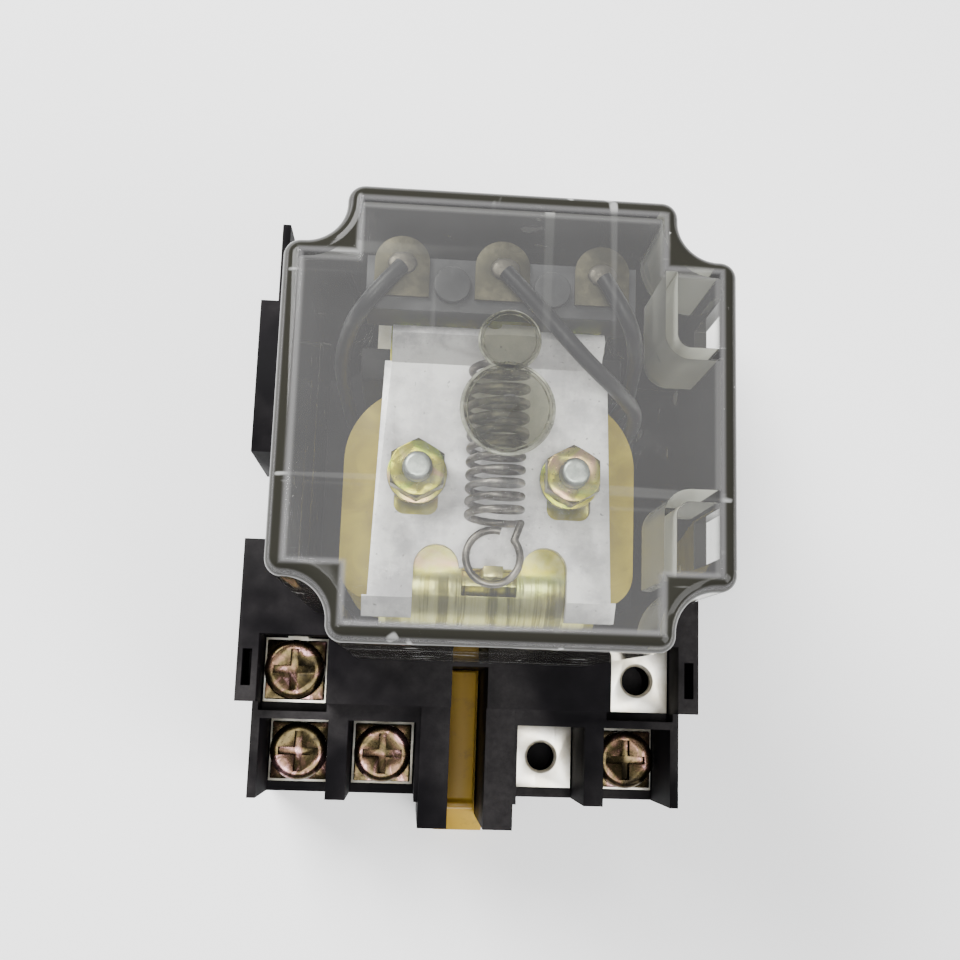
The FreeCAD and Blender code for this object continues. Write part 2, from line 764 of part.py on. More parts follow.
def make_coil_tape():
    low = bobbin_bottom + 0.3
    high = bobbin_top + tape_lip
    body = rounded_block(-tape_half_width, tape_half_width, tape_back, tape_front, low, high,
                         tape_round_back, tape_round_front)
    body = body.cut(coil_outline(-0.05, low - 1, bobbin_top + 0.02))
    wide = yoke_half_width + 0.1
    body = body.cut(block(-wide, wide, yoke_back - 0.1, yoke_leg_front + 0.5, low - 1, high + 1))
    return body.cut(post(0, coil_y, tape_lip_hole, low - 1, high + 1))


def make_coil_leads():
    return [post(x, coil_y - 4.0, lead_wire_radius, relay_floor, bobbin_bottom) for x in (-10.5, 10.5)]


# ------------------------------------------------------------------ armature and what it carries
def make_armature():
    wide = armature_half_width
    bend_z = armature_top - armature_bend_radius
    bend_y = armature_leg_back + armature_bend_radius
    flat = block(-wide, wide, bend_y, armature_front, armature_bottom, armature_top)
    inner_radius = armature_bend_radius - armature_thickness
    ring = Part.makeCylinder(armature_bend_radius, 2 * wide, V(-wide, bend_y, bend_z), X_AXIS)
    ring = ring.cut(Part.makeCylinder(inner_radius, 2 * wide + 2, V(-wide - 1, bend_y, bend_z), X_AXIS))
    quarter = block(-wide, wide, bend_y - armature_bend_radius - 1, bend_y, bend_z, armature_top + 1)
    ring = ring.common(quarter)
    leg_front = armature_leg_back + armature_thickness
    leg = block(-wide, wide, armature_leg_back, leg_front, armature_leg_bottom, bend_z)
    shape = fused([flat, ring, leg])
    slot_back = lug_back - 1.2
    slot_front = lug_back + lug_thickness + 0.25
    shape = shape.cut(block(-window_half_width, window_half_width, slot_back, slot_front,
                            armature_leg_bottom, armature_top + 1))
    for side in (-1, 1):
        shape = shape.cut(post(side * stud_x, stud_y, stud_radius + fixed_fit, armature_bottom - 1, armature_top + 1))
        shape = shape.cut(post(side * pole_pitch / 2, carrier_rivet_y, carrier_rivet_radius + fixed_fit,
                               armature_bottom - 1, armature_top + 1))
    return shape


def make_armature_studs():
    studs = []
    for side in (-1, 1):
        stud = post(side * stud_x, stud_y, stud_radius, armature_bottom, stud_top)
        rim = [e for e in stud.Edges if len(e.Vertexes) == 1 and abs(e.Vertexes[0].Z - stud_top) < 1e-6]
        studs.append(stud.makeFillet(0.5, rim))
    return studs


def hook_path():
    """Straight run and arc of the spring's upper hook, in the plane x = 0."""
    top = spring_height + spring_mean_radius
    start = V(0, spring_high_y, top)
    bend = V(0, hook_y, top)
    turn = [math.radians(a) for a in (90.0, -15.0, -120.0)]
    on_arc = [V(0, hook_y + spring_mean_radius * math.cos(a), spring_height + spring_mean_radius * math.sin(a))
              for a in turn]
    return [Part.LineSegment(start, bend).toShape(), Part.Arc(bend, on_arc[1], on_arc[2]).toShape()]


def swept(edges, radius):
    """Round wire along a path of edges that meet in tangent."""
    path = Part.Wire(edges)
    start = edges[0].valueAt(edges[0].FirstParameter)
    direction = edges[0].tangentAt(edges[0].FirstParameter)
    circle = Part.Wire([Part.makeCircle(radius, start, direction)])
    return path.makePipeShell([circle], True, True)


def make_adjusting_plate():
    top_half = plate_half_top
    low_half = plate_half_bottom
    corners = [V(-top_half, plate_bend_y, plate_bottom), V(top_half, plate_bend_y, plate_bottom),
               V(low_half, plate_end_y, plate_bottom), V(-low_half, plate_end_y, plate_bottom)]
    sheet = Part.Face(Part.makePolygon(corners + corners[:1])).extrude(V(0, 0, plate_thickness))
    slope = math.hypot(flange_run, flange_rise)
    across_y = plate_thickness * flange_rise / slope
    across_z = plate_thickness * flange_run / slope
    flange = prism_x([(plate_bend_y - 0.1, plate_bottom), (plate_bend_y + 0.5, plate_bottom),
                      (plate_bend_y + 0.5 + flange_run, plate_bottom + flange_rise),
                      (plate_bend_y + 0.5 + flange_run - across_y, plate_bottom + flange_rise + across_z),
                      (plate_bend_y - 0.1, plate_top)], -flange_half, flange_half)
    pieces = [sheet, flange]
    for side in (-1, 1):
        x0, x1 = sorted((side * arch_outer, side * (low_half + foot_extra)))
        foot = prism_x([(plate_end_y + 0.1, plate_bottom), (plate_end_y + 0.1, plate_top), (plate_end_y, plate_top),
                        (plate_end_y - foot_run, plate_top - foot_drop),
                        (plate_end_y - foot_run, plate_bottom - foot_drop), (plate_end_y, plate_bottom)], x0, x1)
        pieces.append(foot)
    shape = fused(pieces)
    shape = shape.cut(block(-arch_outer, arch_outer, plate_end_y - 5, yoke_leg_front, plate_bottom - 3, plate_top + 1))
    arch_radius = (arch_outer - arch_inner) / 2
    arch_middle = (arch_outer + arch_inner) / 2
    for side in (-1, 1):
        shape = shape.cut(post(side * arch_middle, yoke_leg_front, arch_radius, plate_bottom - 1, plate_top + 1))
        slot_half = slot_width / 2
        slot = rounded_block(side * stud_x - slot_half, side * stud_x + slot_half, slot_low, slot_high,
                             plate_bottom - 1, plate_top + 1, slot_half / 2, slot_half / 2)
        shape = shape.cut(slot)
    return shape.cut(swept(hook_path(), wire_radius + hook_hole_gap))


def stack_heights():
    """Bottom of the flat washer, spring washer and nut, and the top of the nut."""
    flat = plate_top
    spring = flat + flat_washer_thickness
    nut = spring + spring_washer_thickness
    return flat, spring, nut, nut + nut_height


def make_flat_washers():
    flat, spring, nut, top = stack_heights()
    return [tube(side * stud_x, stud_y, flat_washer_radius, stud_radius + 0.1, flat, spring) for side in (-1, 1)]


def make_spring_washers():
    flat, spring, nut, top = stack_heights()
    washers = []
    for side in (-1, 1):
        ring = tube(side * stud_x, stud_y, spring_washer_radius, stud_radius + 0.1, spring, nut)
        washers.append(ring.cut(block(side * stud_x - 0.2, side * stud_x + 0.2, stud_y - 4, stud_y, spring, nut)))
    return washers


def make_stud_nuts():
    flat, spring, nut, top = stack_heights()
    corner = nut_across_flats / 2 / math.cos(math.radians(30))
    nuts = []
    for side in (-1, 1):
        points = [V(side * stud_x + corner * math.cos(math.radians(a)), stud_y + corner * math.sin(math.radians(a)), nut)
                  for a in range(30, 390, 60)]
        prism = Part.Face(Part.makePolygon(points + points[:1])).extrude(V(0, 0, nut_height))
        crown = Part.makeCone(corner + nut_height * 1.73, nut_across_flats / 2 + 0.02, nut_height + 0.2,
                              V(side * stud_x, stud_y, nut - 0.2))
        prism = prism.common(crown)
        nuts.append(prism.cut(post(side * stud_x, stud_y, stud_radius + fixed_fit, nut - 1, top + 1)))
    return nuts


def make_return_spring():
    pitch = (spring_high_y - spring_low_y) / spring_turns
    helix = Part.makeHelix(pitch, spring_high_y - spring_low_y, spring_mean_radius)
    circle = Part.Wire([Part.makeCircle(wire_radius, V(spring_mean_radius, 0, 0), V(0, 1, 0))])
    coil = Part.Wire(helix.Edges).makePipeShell([circle], True, True)
    # The helix rises along Z from (R, 0, 0); it is laid along Y, starting at the +X side.
    coil.rotate(V(0, 0, 0), X_AXIS, -90)
    coil.translate(V(0, spring_low_y, spring_height))
    return coil


def lower_ring():
    """Open ring of the spring's lower end and the short run that joins it to the coil."""
    start = math.radians(40.0)
    joint = V(ring_radius * math.cos(start), ring_y + ring_radius * math.sin(start), spring_height)
    first = V(spring_mean_radius, spring_low_y, spring_height)
    ring = Part.makeTorus(ring_radius, wire_radius, V(0, ring_y, spring_height), Z_AXIS, 0, 360, 325)
    ring.rotate(V(0, ring_y, spring_height), Z_AXIS, 75.0)
    run = Part.makeCylinder(wire_radius, first.distanceToPoint(joint), first, joint.sub(first))
    return [ring, run, Part.makeSphere(wire_radius, first), Part.makeSphere(wire_radius, joint)]


# ------------------------------------------------------------------ contacts
def poles():
    return [(i - 1) * pole_pitch for i in range(3)]


def make_contact_carrier():
    shape = block(-carrier_half, carrier_half, carrier_back, carrier_front, carrier_bottom, carrier_top)
    for side in (-1, 1):
        x = side * pole_pitch / 2
        shape = shape.cut(post(x, carrier_rivet_y, carrier_rivet_radius + fixed_fit, carrier_bottom - 1, carrier_top + 1))
    return shape


def make_carrier_rivets():
    rivets = []
    for side in (-1, 1):
        x = side * pole_pitch / 2
        shank = post(x, carrier_rivet_y, carrier_rivet_radius, armature_bottom, carrier_top)
        head = post(x, carrier_rivet_y, carrier_rivet_head, carrier_top, carrier_top + 0.6)
        rivets.append(fused([shank, head]))
    return rivets


def make_moving_contact_arms():
    arms = []
    for x in poles():
        top = carrier_top + arm_thickness
        lobe = fused([post(x, lobe_y, lobe_radius, carrier_top, top),
                      block(x - lobe_radius, x + lobe_radius, lobe_start_y, lobe_y, carrier_top, top)])
        leg_back = carrier_front + arm_gap
        leg_front = leg_back + arm_thickness
        leg = block(x - arm_half_width, x + arm_half_width, leg_back, leg_front, arm_bottom, top)
        prong = block(x - arm_half_width, x + arm_half_width, contact_y - contact_radius - 0.1, leg_front,
                      arm_bottom, arm_bottom + arm_thickness)
        arm = fused([lobe, leg, prong])
        arms.append(arm.cut(post(x, contact_y, 0.6, arm_bottom - 1, arm_bottom + arm_thickness + 1)))
    return arms


def make_moving_contacts():
    contacts = []
    for x in poles():
        low = arm_bottom - contact_height
        high = arm_bottom + arm_thickness + contact_height
        pieces = [post(x, contact_y, contact_radius, low, arm_bottom),
                  post(x, contact_y, 0.6 - fixed_fit, low, high),
                  post(x, contact_y, contact_radius, arm_bottom + arm_thickness, high)]
        contacts.append(fused(pieces))
    return contacts


def contact_levels():
    """Underside of the upper strips and top face of the lower strips."""
    moving_top = arm_bottom + arm_thickness + contact_height
    moving_bottom = arm_bottom - contact_height
    upper = moving_top + contact_rest_gap + contact_rivet_height
    lower = moving_bottom - closing_drop - contact_rest_gap - contact_rivet_height
    return upper, lower


def contact_strip(x, low, tail_side):
    """Flat head over the contact and a tail down the block; the other strip's tail has room beside it."""
    head = block(x - contact_strip_half, x + contact_strip_half, block_front, contact_strip_front,
                 low, low + contact_strip_thickness)
    near, far = sorted((x - tail_side * 0.3, x - tail_side * (contact_strip_half + 0.1)))
    head = head.cut(block(near, far, block_front - 1, block_front + contact_strip_thickness + 0.4,
                          low - 1, low + 1))
    near, far = sorted((x + tail_side * contact_strip_half, x + tail_side * (contact_strip_half - contact_tail_width)))
    tail = block(near, far, block_front, block_front + contact_strip_thickness, relay_floor,
                 low + contact_strip_thickness)
    return fused([head, tail])


def make_nc_contact_strips():
    upper, lower = contact_levels()
    return [contact_strip(x, upper, -1) for x in poles()]


def make_no_contact_strips():
    upper, lower = contact_levels()
    return [contact_strip(x, lower - contact_strip_thickness, 1) for x in poles()]


def make_fixed_contacts():
    upper, lower = contact_levels()
    contacts = []
    for x in poles():
        contacts.append(post(x, contact_y, contact_radius, upper - contact_rivet_height, upper))
        contacts.append(post(x, contact_y, contact_radius, lower, lower + contact_rivet_height))
    return contacts


def make_contact_block():
    return block(-block_half, block_half, block_back, block_front, relay_floor, block_top)


# ------------------------------------------------------------------ flexible leads
def lead_path(points, number):
    """Straight runs between the points, joined by tangent arcs as large as the runs allow."""
    corners = [V(*p) for p in points]
    edges = []
    cursor = corners[0]
    for before, here, after in zip(corners, corners[1:], corners[2:]):
        way_in = here.sub(before)
        way_out = after.sub(here)
        run = min(way_in.Length, way_out.Length)
        turn = way_in.getAngle(way_out)
        cut_back = 0.45 * run
        way_in.normalize()
        way_out.normalize()
        radius = cut_back / math.tan(turn / 2)
        print("lead", number, "radius", round(radius, 2))
        start = here.sub(way_in * cut_back)
        end = here + way_out * cut_back
        inward = way_out.sub(way_in)
        inward.normalize()
        centre = here + inward * math.hypot(radius, cut_back)
        middle = centre.sub(inward * radius)
        edges.append(Part.LineSegment(cursor, start).toShape())
        edges.append(Part.Arc(start, middle, end).toShape())
        cursor = end
    edges.append(Part.LineSegment(cursor, corners[-1]).toShape())
    return edges


def make_flexible_leads():
    leads = []
    for number, route in enumerate(lead_routes):
        edges = lead_path(route, number)
        lead = swept(edges, lead_radius)
        length = sum(edge.Length for edge in edges)
        expected = math.pi * lead_radius ** 2 * length
        print("lead", number, "length", round(length, 1), "volume ratio", round(lead.Volume / expected, 4))
        leads.append(lead)
    return leads


# ------------------------------------------------------------------ build
save("socket_body", make_socket_body())
save("socket_base_plate", make_socket_base_plate())
save("socket_rivets", make_socket_rivets())
save("terminal_strips", make_terminal_strips())
save("pin_sleeves", make_pin_sleeves())
save("terminal_screws", make_terminal_screws())
save("terminal_clamps", make_terminal_clamps())
save("rail_slider", make_rail_slider())
save("relay_base", make_relay_base())
save("relay_key", make_relay_key())
save("relay_pins", make_relay_pins())
save("frame_screws", make_frame_screws())
save("cover", make_cover())

save("yoke", moved(make_yoke()))
save("core", moved(make_core()))
save("bobbin", moved(make_bobbin()))
save("coil_winding", moved(make_coil_winding()))
save("coil_tape", moved(make_coil_tape()))
save("coil_leads", [moved(s) for s in make_coil_leads()])
save("contact_block", moved(make_contact_block()))
save("nc_contact_strips", [moved(s) for s in make_nc_contact_strips()])
save("no_contact_strips", [moved(s) for s in make_no_contact_strips()])
save("fixed_contacts", [moved(s) for s in make_fixed_contacts()])
save("flexible_leads", [moved(s) for s in make_flexible_leads()])

save("armature", moved(make_armature()))
save("armature_studs", [moved(s) for s in make_armature_studs()])
save("adjusting_plate", moved(make_adjusting_plate()))
save("flat_washers", [moved(s) for s in make_flat_washers()])
save("spring_washers", [moved(s) for s in make_spring_washers()])
save("stud_nuts", [moved(s) for s in make_stud_nuts()])
save("contact_carrier", moved(make_contact_carrier()))
save("carrier_rivets", [moved(s) for s in make_carrier_rivets()])
save("moving_contact_arms", [moved(s) for s in make_moving_contact_arms()])
save("moving_contacts", [moved(s) for s in make_moving_contacts()])
spring = fused([make_return_spring(), swept(hook_path(), wire_radius)] + lower_ring())
save("return_spring", moved(spring))
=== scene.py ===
import json
import math

import bmesh
import bpy
from bpy.props import FloatProperty, FloatVectorProperty, PointerProperty
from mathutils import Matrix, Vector

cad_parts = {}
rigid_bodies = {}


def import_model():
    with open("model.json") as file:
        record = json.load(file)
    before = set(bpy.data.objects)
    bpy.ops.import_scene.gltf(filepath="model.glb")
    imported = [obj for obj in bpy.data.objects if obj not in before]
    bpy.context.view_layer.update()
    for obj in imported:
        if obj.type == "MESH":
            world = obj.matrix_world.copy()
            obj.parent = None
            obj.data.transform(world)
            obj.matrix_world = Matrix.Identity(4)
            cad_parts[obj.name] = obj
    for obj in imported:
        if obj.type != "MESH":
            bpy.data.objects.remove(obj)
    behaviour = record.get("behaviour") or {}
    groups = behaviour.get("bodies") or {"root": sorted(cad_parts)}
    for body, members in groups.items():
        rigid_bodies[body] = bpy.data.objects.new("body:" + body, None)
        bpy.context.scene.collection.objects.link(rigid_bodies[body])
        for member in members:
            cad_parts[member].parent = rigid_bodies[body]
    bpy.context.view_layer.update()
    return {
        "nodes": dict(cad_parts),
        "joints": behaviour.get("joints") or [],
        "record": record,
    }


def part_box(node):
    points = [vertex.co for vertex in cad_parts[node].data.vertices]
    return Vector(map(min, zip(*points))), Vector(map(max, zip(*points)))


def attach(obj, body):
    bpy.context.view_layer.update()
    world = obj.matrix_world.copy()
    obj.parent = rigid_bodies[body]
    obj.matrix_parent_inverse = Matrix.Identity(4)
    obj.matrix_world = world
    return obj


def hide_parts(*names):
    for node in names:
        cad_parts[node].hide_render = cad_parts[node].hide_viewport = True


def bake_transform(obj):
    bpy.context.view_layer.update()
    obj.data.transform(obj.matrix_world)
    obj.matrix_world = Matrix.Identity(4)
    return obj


# Looks of a plug-in relay in its rail socket. Lengths are metres, angles radians.
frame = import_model()
MM = 0.001
NODES = frame["nodes"]
RECORD = frame["record"]

bl_info = {
    "name": "Plug-in relay",
    "version": (1, 0, 0),
    "blender": (4, 5, 0),
    "location": "3D View > Sidebar > Relay",
    "description": "Detailed pieces and finishes for a plug-in relay standing in its rail socket",
    "category": "Object",
}


# ------------------------------------------------------------------ places read from the frame
def low(node):
    return Vector(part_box(node)[0])


def high(node):
    return Vector(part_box(node)[1])


def middle(node):
    return (low(node) + high(node)) / 2


HINGE = next(j for j in frame["joints"] if j["name"] == "armature_pull_in")["pos_m"]
MECHANISM_X = HINGE[0]
LOBE_TOP = high("moving_contact_arms").z
ARMATURE_TOP = high("armature").z
BEND_START = -12.2 * MM          # along Y, where the armature turns down
BEND_DEPTH = 10.0 * MM           # how far down the drawn lines of the bend reach
COVER_HALF = high("cover").y
COVER_NOTCH = 5.0 * MM           # depth of the step at each corner of the cover
COVER_CEILING = high("cover").z - 1.85 * MM
RIB_INNER = 12.8 * MM            # along X, inner and outer ends of the pocket ribs
RIB_OUTER = 17.3 * MM
RIB_BOTTOM = 61.0 * MM
RIB_TOP = 71.25 * MM
BOSSES = ((0.6 * MM, 3.65 * MM), (6.4 * MM, 2.45 * MM))   # along Y, and radius
# rings round the bosses, which carry a painted highlight: along Y, radius, half width
BOSS_RINGS = ((0.6 * MM, 3.80 * MM, 0.16 * MM), (0.6 * MM, 3.40 * MM, 0.06 * MM),
              (6.4 * MM, 2.52 * MM, 0.12 * MM), (6.4 * MM, 2.20 * MM, 0.05 * MM))
BOSS_MIDDLE_Y = 2.0 * MM         # the area of the ceiling that holds both bosses
BOSS_REACH_X = 4.2 * MM
BOSS_REACH_Y = 7.2 * MM
BOSS_FACE_AREA = 60 * MM * MM
SOLDER_SIZE = (1.25 * MM, 1.0 * MM, 0.42 * MM)            # half extents of a solder mound
# lamps: name, place, size, power
LAMPS = (("key", (-0.30, 0.30, 0.42), 0.30, 8.0), ("fill", (0.40, -0.25, 0.35), 0.35, 3.5),
         ("top", (-0.02, -0.12, 0.70), 0.25, 3.0))
LAMP_TARGET = Vector((0, 0, 0.03))
CAMERA_PLACE = Vector((-7.2, -22.8, 166.5)) * MM
CAMERA_TURN = (9.95, -4.25, 1.76)   # degrees
CAMERA_SHIFT = (-0.01875, 0.00521)
# ways of the flexible leads from lobe to base, millimetres from the mechanism's middle line
LEAD_ROUTES = [
    [(-8.6, 13.0, 69.5), (-11.6, 9.4, 70.2), (-13.3, 7.8, 65.0), (-14.2, 7.4, 56.0), (-14.2, 7.2, 44.0),
     (-14.0, 7.2, 32.3)],
    [(0.2, 12.9, 69.5), (3.4, 9.4, 70.2), (7.0, 5.6, 69.6), (10.8, 3.4, 66.5), (13.4, 3.2, 60.0),
     (14.6, 3.6, 48.0), (14.4, 3.6, 32.3)],
    [(8.6, 12.8, 69.5), (10.9, 8.8, 70.4), (12.1, 6.8, 66.0), (13.1, 6.8, 58.0), (14.3, 7.2, 50.0),
     (14.4, 7.4, 42.0), (14.2, 7.2, 32.3)],
]


# ------------------------------------------------------------------ shader writing
class Value:
    """A socket in a material; arithmetic on it adds Math nodes."""

    def __init__(self, paint, socket):
        self.paint = paint
        self.socket = socket

    def math(self, operation, other=None, reverse=False):
        terms = [self] if other is None else ([other, self] if reverse else [self, other])
        return self.paint.node("ShaderNodeMath", {"operation": operation}, dict(enumerate(terms)))

    def __add__(self, other):
        return self.math("ADD", other)

    def __radd__(self, other):
        return self.math("ADD", other, True)

    def __sub__(self, other):
        return self.math("SUBTRACT", other)

    def __rsub__(self, other):
        return self.math("SUBTRACT", other, True)

    def __mul__(self, other):
        return self.math("MULTIPLY", other)

    def __rmul__(self, other):
        return self.math("MULTIPLY", other, True)


class Paint:
    """One material being written, with short names for the nodes it uses."""

    def __init__(self, name):
        self.material = bpy.data.materials.new(name)
        self.material.use_nodes = True
        self.tree = self.material.node_tree
        self.tree.nodes.clear()
        self.place = self.node("ShaderNodeTexCoord", output="Object")

    def node(self, kind, settings=None, sockets=None, output=0):
        """Adds a node; settings go on the node, sockets take numbers, colours or other values."""
        made = self.tree.nodes.new(kind)
        for key, setting in (settings or {}).items():
            if key == "stops":
                self.set_stops(made.color_ramp, setting)
            else:
                setattr(made, key, setting)
        for key, value in (sockets or {}).items():
            if isinstance(value, Value):
                self.tree.links.new(value.socket, made.inputs[key])
            elif made.inputs[key].type == "RGBA" and len(value) == 3:
                made.inputs[key].default_value = (*value, 1)
            else:
                made.inputs[key].default_value = value
        return Value(self, made.outputs[output]) if made.outputs else made

    @staticmethod
    def set_stops(ramp, stops):
        while len(ramp.elements) > 1:
            ramp.elements.remove(ramp.elements[-1])
        for number, (position, colour) in enumerate(stops):
            element = ramp.elements[0] if number == 0 else ramp.elements.new(position)
            element.position = position
            element.color = (*colour, 1)

    def mapped(self, scale=(1, 1, 1), turn=(0, 0, 0)):
        return self.node("ShaderNodeMapping", None,
                         {"Vector": self.place, "Scale": scale, "Rotation": turn})

    def axis(self, name):
        return self.node("ShaderNodeSeparateXYZ", None, {0: self.place}, name)

    def up(self):
        """How far the surface faces upwards."""
        normal = self.node("ShaderNodeNewGeometry", output="Normal")
        return self.node("ShaderNodeSeparateXYZ", None, {0: normal}, "Z")

    def noise(self, scale, detail=4.0, rough=0.55, where=None, distortion=0.0):
        return self.node("ShaderNodeTexNoise", None,
                         {"Vector": where or self.place, "Scale": scale, "Detail": detail,
                          "Roughness": rough, "Distortion": distortion}, "Fac")

    def step(self, value, start, end, to_low=0.0, to_high=1.0):
        """Smooth rise of value from start to end."""
        return self.node("ShaderNodeMapRange", {"interpolation_type": "SMOOTHSTEP"},
                         {0: value, 1: start, 2: end, 3: to_low, 4: to_high})

    def ramp(self, value, stops):
        return self.node("ShaderNodeValToRGB", {"stops": stops}, {0: value})

    def mix(self, amount, first, second, blend="MIX"):
        """Mix of two colours."""
        return self.node("ShaderNodeMix", {"data_type": "RGBA", "blend_type": blend},
                         {0: amount, 6: first, 7: second}, 2)

    def bump(self, height, depth, strength=1.0, under=None):
        sockets = {"Height": height, "Distance": depth, "Strength": strength}
        if under is not None:
            sockets["Normal"] = under
        return self.node("ShaderNodeBump", None, sockets)

    def surface(self, colour, roughness, metallic=0.0, normal=None, **constants):
        """Closes the material with a Principled surface."""
        shader = self.principled(colour, roughness, metallic, normal, **constants)
        self.node("ShaderNodeOutputMaterial", None, {"Surface": shader})
        return self.material

    def principled(self, colour, roughness, metallic=0.0, normal=None, **constants):
        sockets = {"Base Color": colour, "Roughness": roughness, "Metallic": metallic}
        if normal is not None:
            sockets["Normal"] = normal
        for name, value in constants.items():
            sockets[name.replace("_", " ").title().replace("Ior", "IOR")] = value
        return self.node("ShaderNodeBsdfPrincipled", None, sockets)


# ------------------------------------------------------------------ finishes
def socket_plastic(look):
    """Black moulding with a fine spark texture, rubbed sheen and a little dust."""
    p = Paint("socket_plastic")
    grain = p.noise(2600, 3, 0.6)
    blotch = p.noise(140, 4, 0.6)
    dust = p.noise(900, 6, 0.75) * p.step(p.noise(70, 3, 0.5), 0.42, 0.68) * p.step(p.up(), 0.2, 0.9)
    colour = p.mix(p.step(blotch, 0.3, 0.7), look.black_dark, look.black_light)
    colour = p.mix(dust * look.dust, colour, (0.30, 0.28, 0.27))
    return p.surface(colour, 0.40 + 0.22 * blotch + 0.15 * dust, 0.0, p.bump(grain, 0.02 * MM, 0.35),
                     specular_ior_level=0.03)


def phenolic(look):
    p = Paint("black_phenolic")
    blotch = p.noise(220, 5, 0.6)
    colour = p.mix(p.step(blotch, 0.35, 0.7), (0.006, 0.006, 0.007), (0.020, 0.019, 0.020))
    return p.surface(colour, 0.36 + 0.2 * blotch, 0.0, p.bump(p.noise(1800, 2), 0.015 * MM, 0.4),
                     specular_ior_level=0.06)


def carrier_plastic(look):
    """Dark grey moulding of the contact carrier."""
    p = Paint("carrier_plastic")
    blotch = p.noise(260, 5, 0.6)
    colour = p.mix(p.step(blotch, 0.3, 0.75), (0.020, 0.020, 0.023), (0.060, 0.060, 0.066))
    return p.surface(colour, 0.36 + 0.2 * blotch, 0.0, p.bump(p.noise(1500, 2), 0.02 * MM, 0.4),
                     specular_ior_level=0.3)


def slider_plastic(look):
    p = Paint("slider_plastic")
    flow = p.noise(60, 4, 0.6, p.mapped((1, 0.25, 1)))
    grime = p.step(p.noise(500, 5, 0.7), 0.52, 0.75)
    colour = p.mix(p.step(flow, 0.35, 0.7), look.slider_dark, look.slider_light)
    colour = p.mix(grime * 0.45, colour, (0.10, 0.055, 0.02))
    return p.surface(colour, 0.42 + 0.2 * flow, 0.0, p.bump(p.noise(1900, 2), 0.02 * MM, 0.5),
                     subsurface_weight=0.06, subsurface_scale=1.0 * MM)


def coil_plastic(look):
    p = Paint("bobbin_plastic")
    blotch = p.noise(300, 4)
    colour = p.mix(blotch, (0.55, 0.52, 0.42), (0.72, 0.70, 0.60))
    return p.surface(colour, 0.45 + 0.1 * blotch, 0.0, p.bump(blotch, 0.02 * MM, 0.4))


def wrapping_tape(look):
    """Mustard insulating tape: wrap lines round the coil, wrinkles and darker glue marks."""
    p = Paint("wrapping_tape")
    wrinkle = p.noise(240, 5, 0.6, p.mapped((1, 1, 2.5)), 0.8)
    lines = p.node("ShaderNodeTexWave", {"wave_type": "BANDS", "bands_direction": "Z"},
                   {"Vector": p.place, "Scale": 52.0, "Distortion": 0.6, "Detail": 2.0}, "Fac")
    edge = p.step(lines, 0.86, 0.98)
    colour = p.mix(p.step(wrinkle, 0.3, 0.75), look.tape_dark, look.tape_light)
    colour = p.mix(edge * 0.35, colour, (0.22, 0.16, 0.04))
    colour = p.mix(p.step(p.noise(800, 4, 0.7), 0.62, 0.8) * 0.4, colour, (0.30, 0.22, 0.07))
    bump = p.bump(wrinkle, 0.12 * MM, 0.5, p.bump(lines, 0.08 * MM, 0.5))
    return p.surface(colour, 0.34 + 0.25 * wrinkle, 0.0, bump, coat_weight=0.15, coat_roughness=0.3)


def copper_wire(look):
    """Enamelled wire, wound in level turns; its colour runs dark to bright across each turn, painted
    shade in the grooves between turns.
    """
    p = Paint("copper_wire")
    turns = p.node("ShaderNodeTexWave", {"wave_type": "BANDS", "bands_direction": "Z"},
                   {"Vector": p.place, "Scale": 1200.0}, "Fac")
    # painted shade: dark in the grooves between turns, bright over the middle of each turn
    colour = p.mix(turns, (0.22, 0.07, 0.03), (0.70, 0.30, 0.15))
    return p.surface(colour, 0.3, 1.0, p.bump(turns, 0.1 * MM, 0.8))


def satin_aluminium(look):
    """Tumbled plate: cloudy satin, tiny dark pits and a few random scratches."""
    p = Paint("satin_aluminium")
    cloud = p.noise(260, 6, 0.65)
    fine = p.noise(1700, 5, 0.7)
    broad = p.noise(90, 3, 0.5)
    scratch_a = p.noise(420, 3, 0.6, p.mapped((1, 0.04, 1), turn=(0, 0, 0.35)))
    scratch_b = p.noise(380, 3, 0.6, p.mapped((0.05, 1, 1), turn=(0, 0, 0.8)))
    scratch = p.step(scratch_a, 0.62, 0.72) + p.step(scratch_b, 0.64, 0.74)
    pits = p.step(p.noise(2400, 2, 0.5), 0.66, 0.76)
    worn = p.step(fine + 0.5 * cloud, 0.80, 0.95)
    colour = p.mix(p.step(cloud, 0.36, 0.62), look.aluminium_dark, look.aluminium_light)
    colour = p.mix(p.step(broad, 0.35, 0.65) * 0.35, colour, (0.92, 0.90, 0.93))
    colour = p.mix(worn * 0.6, colour, (0.96, 0.95, 0.95))
    colour = p.mix(pits * 0.7, colour, (0.22, 0.21, 0.22))
    rough = 0.34 + 0.20 * cloud + 0.12 * fine - 0.06 * scratch
    height = fine * 0.8 + cloud * 0.9 - scratch * 0.3
    return p.surface(colour, rough, 0.50, p.bump(height, 0.05 * MM, 0.8))


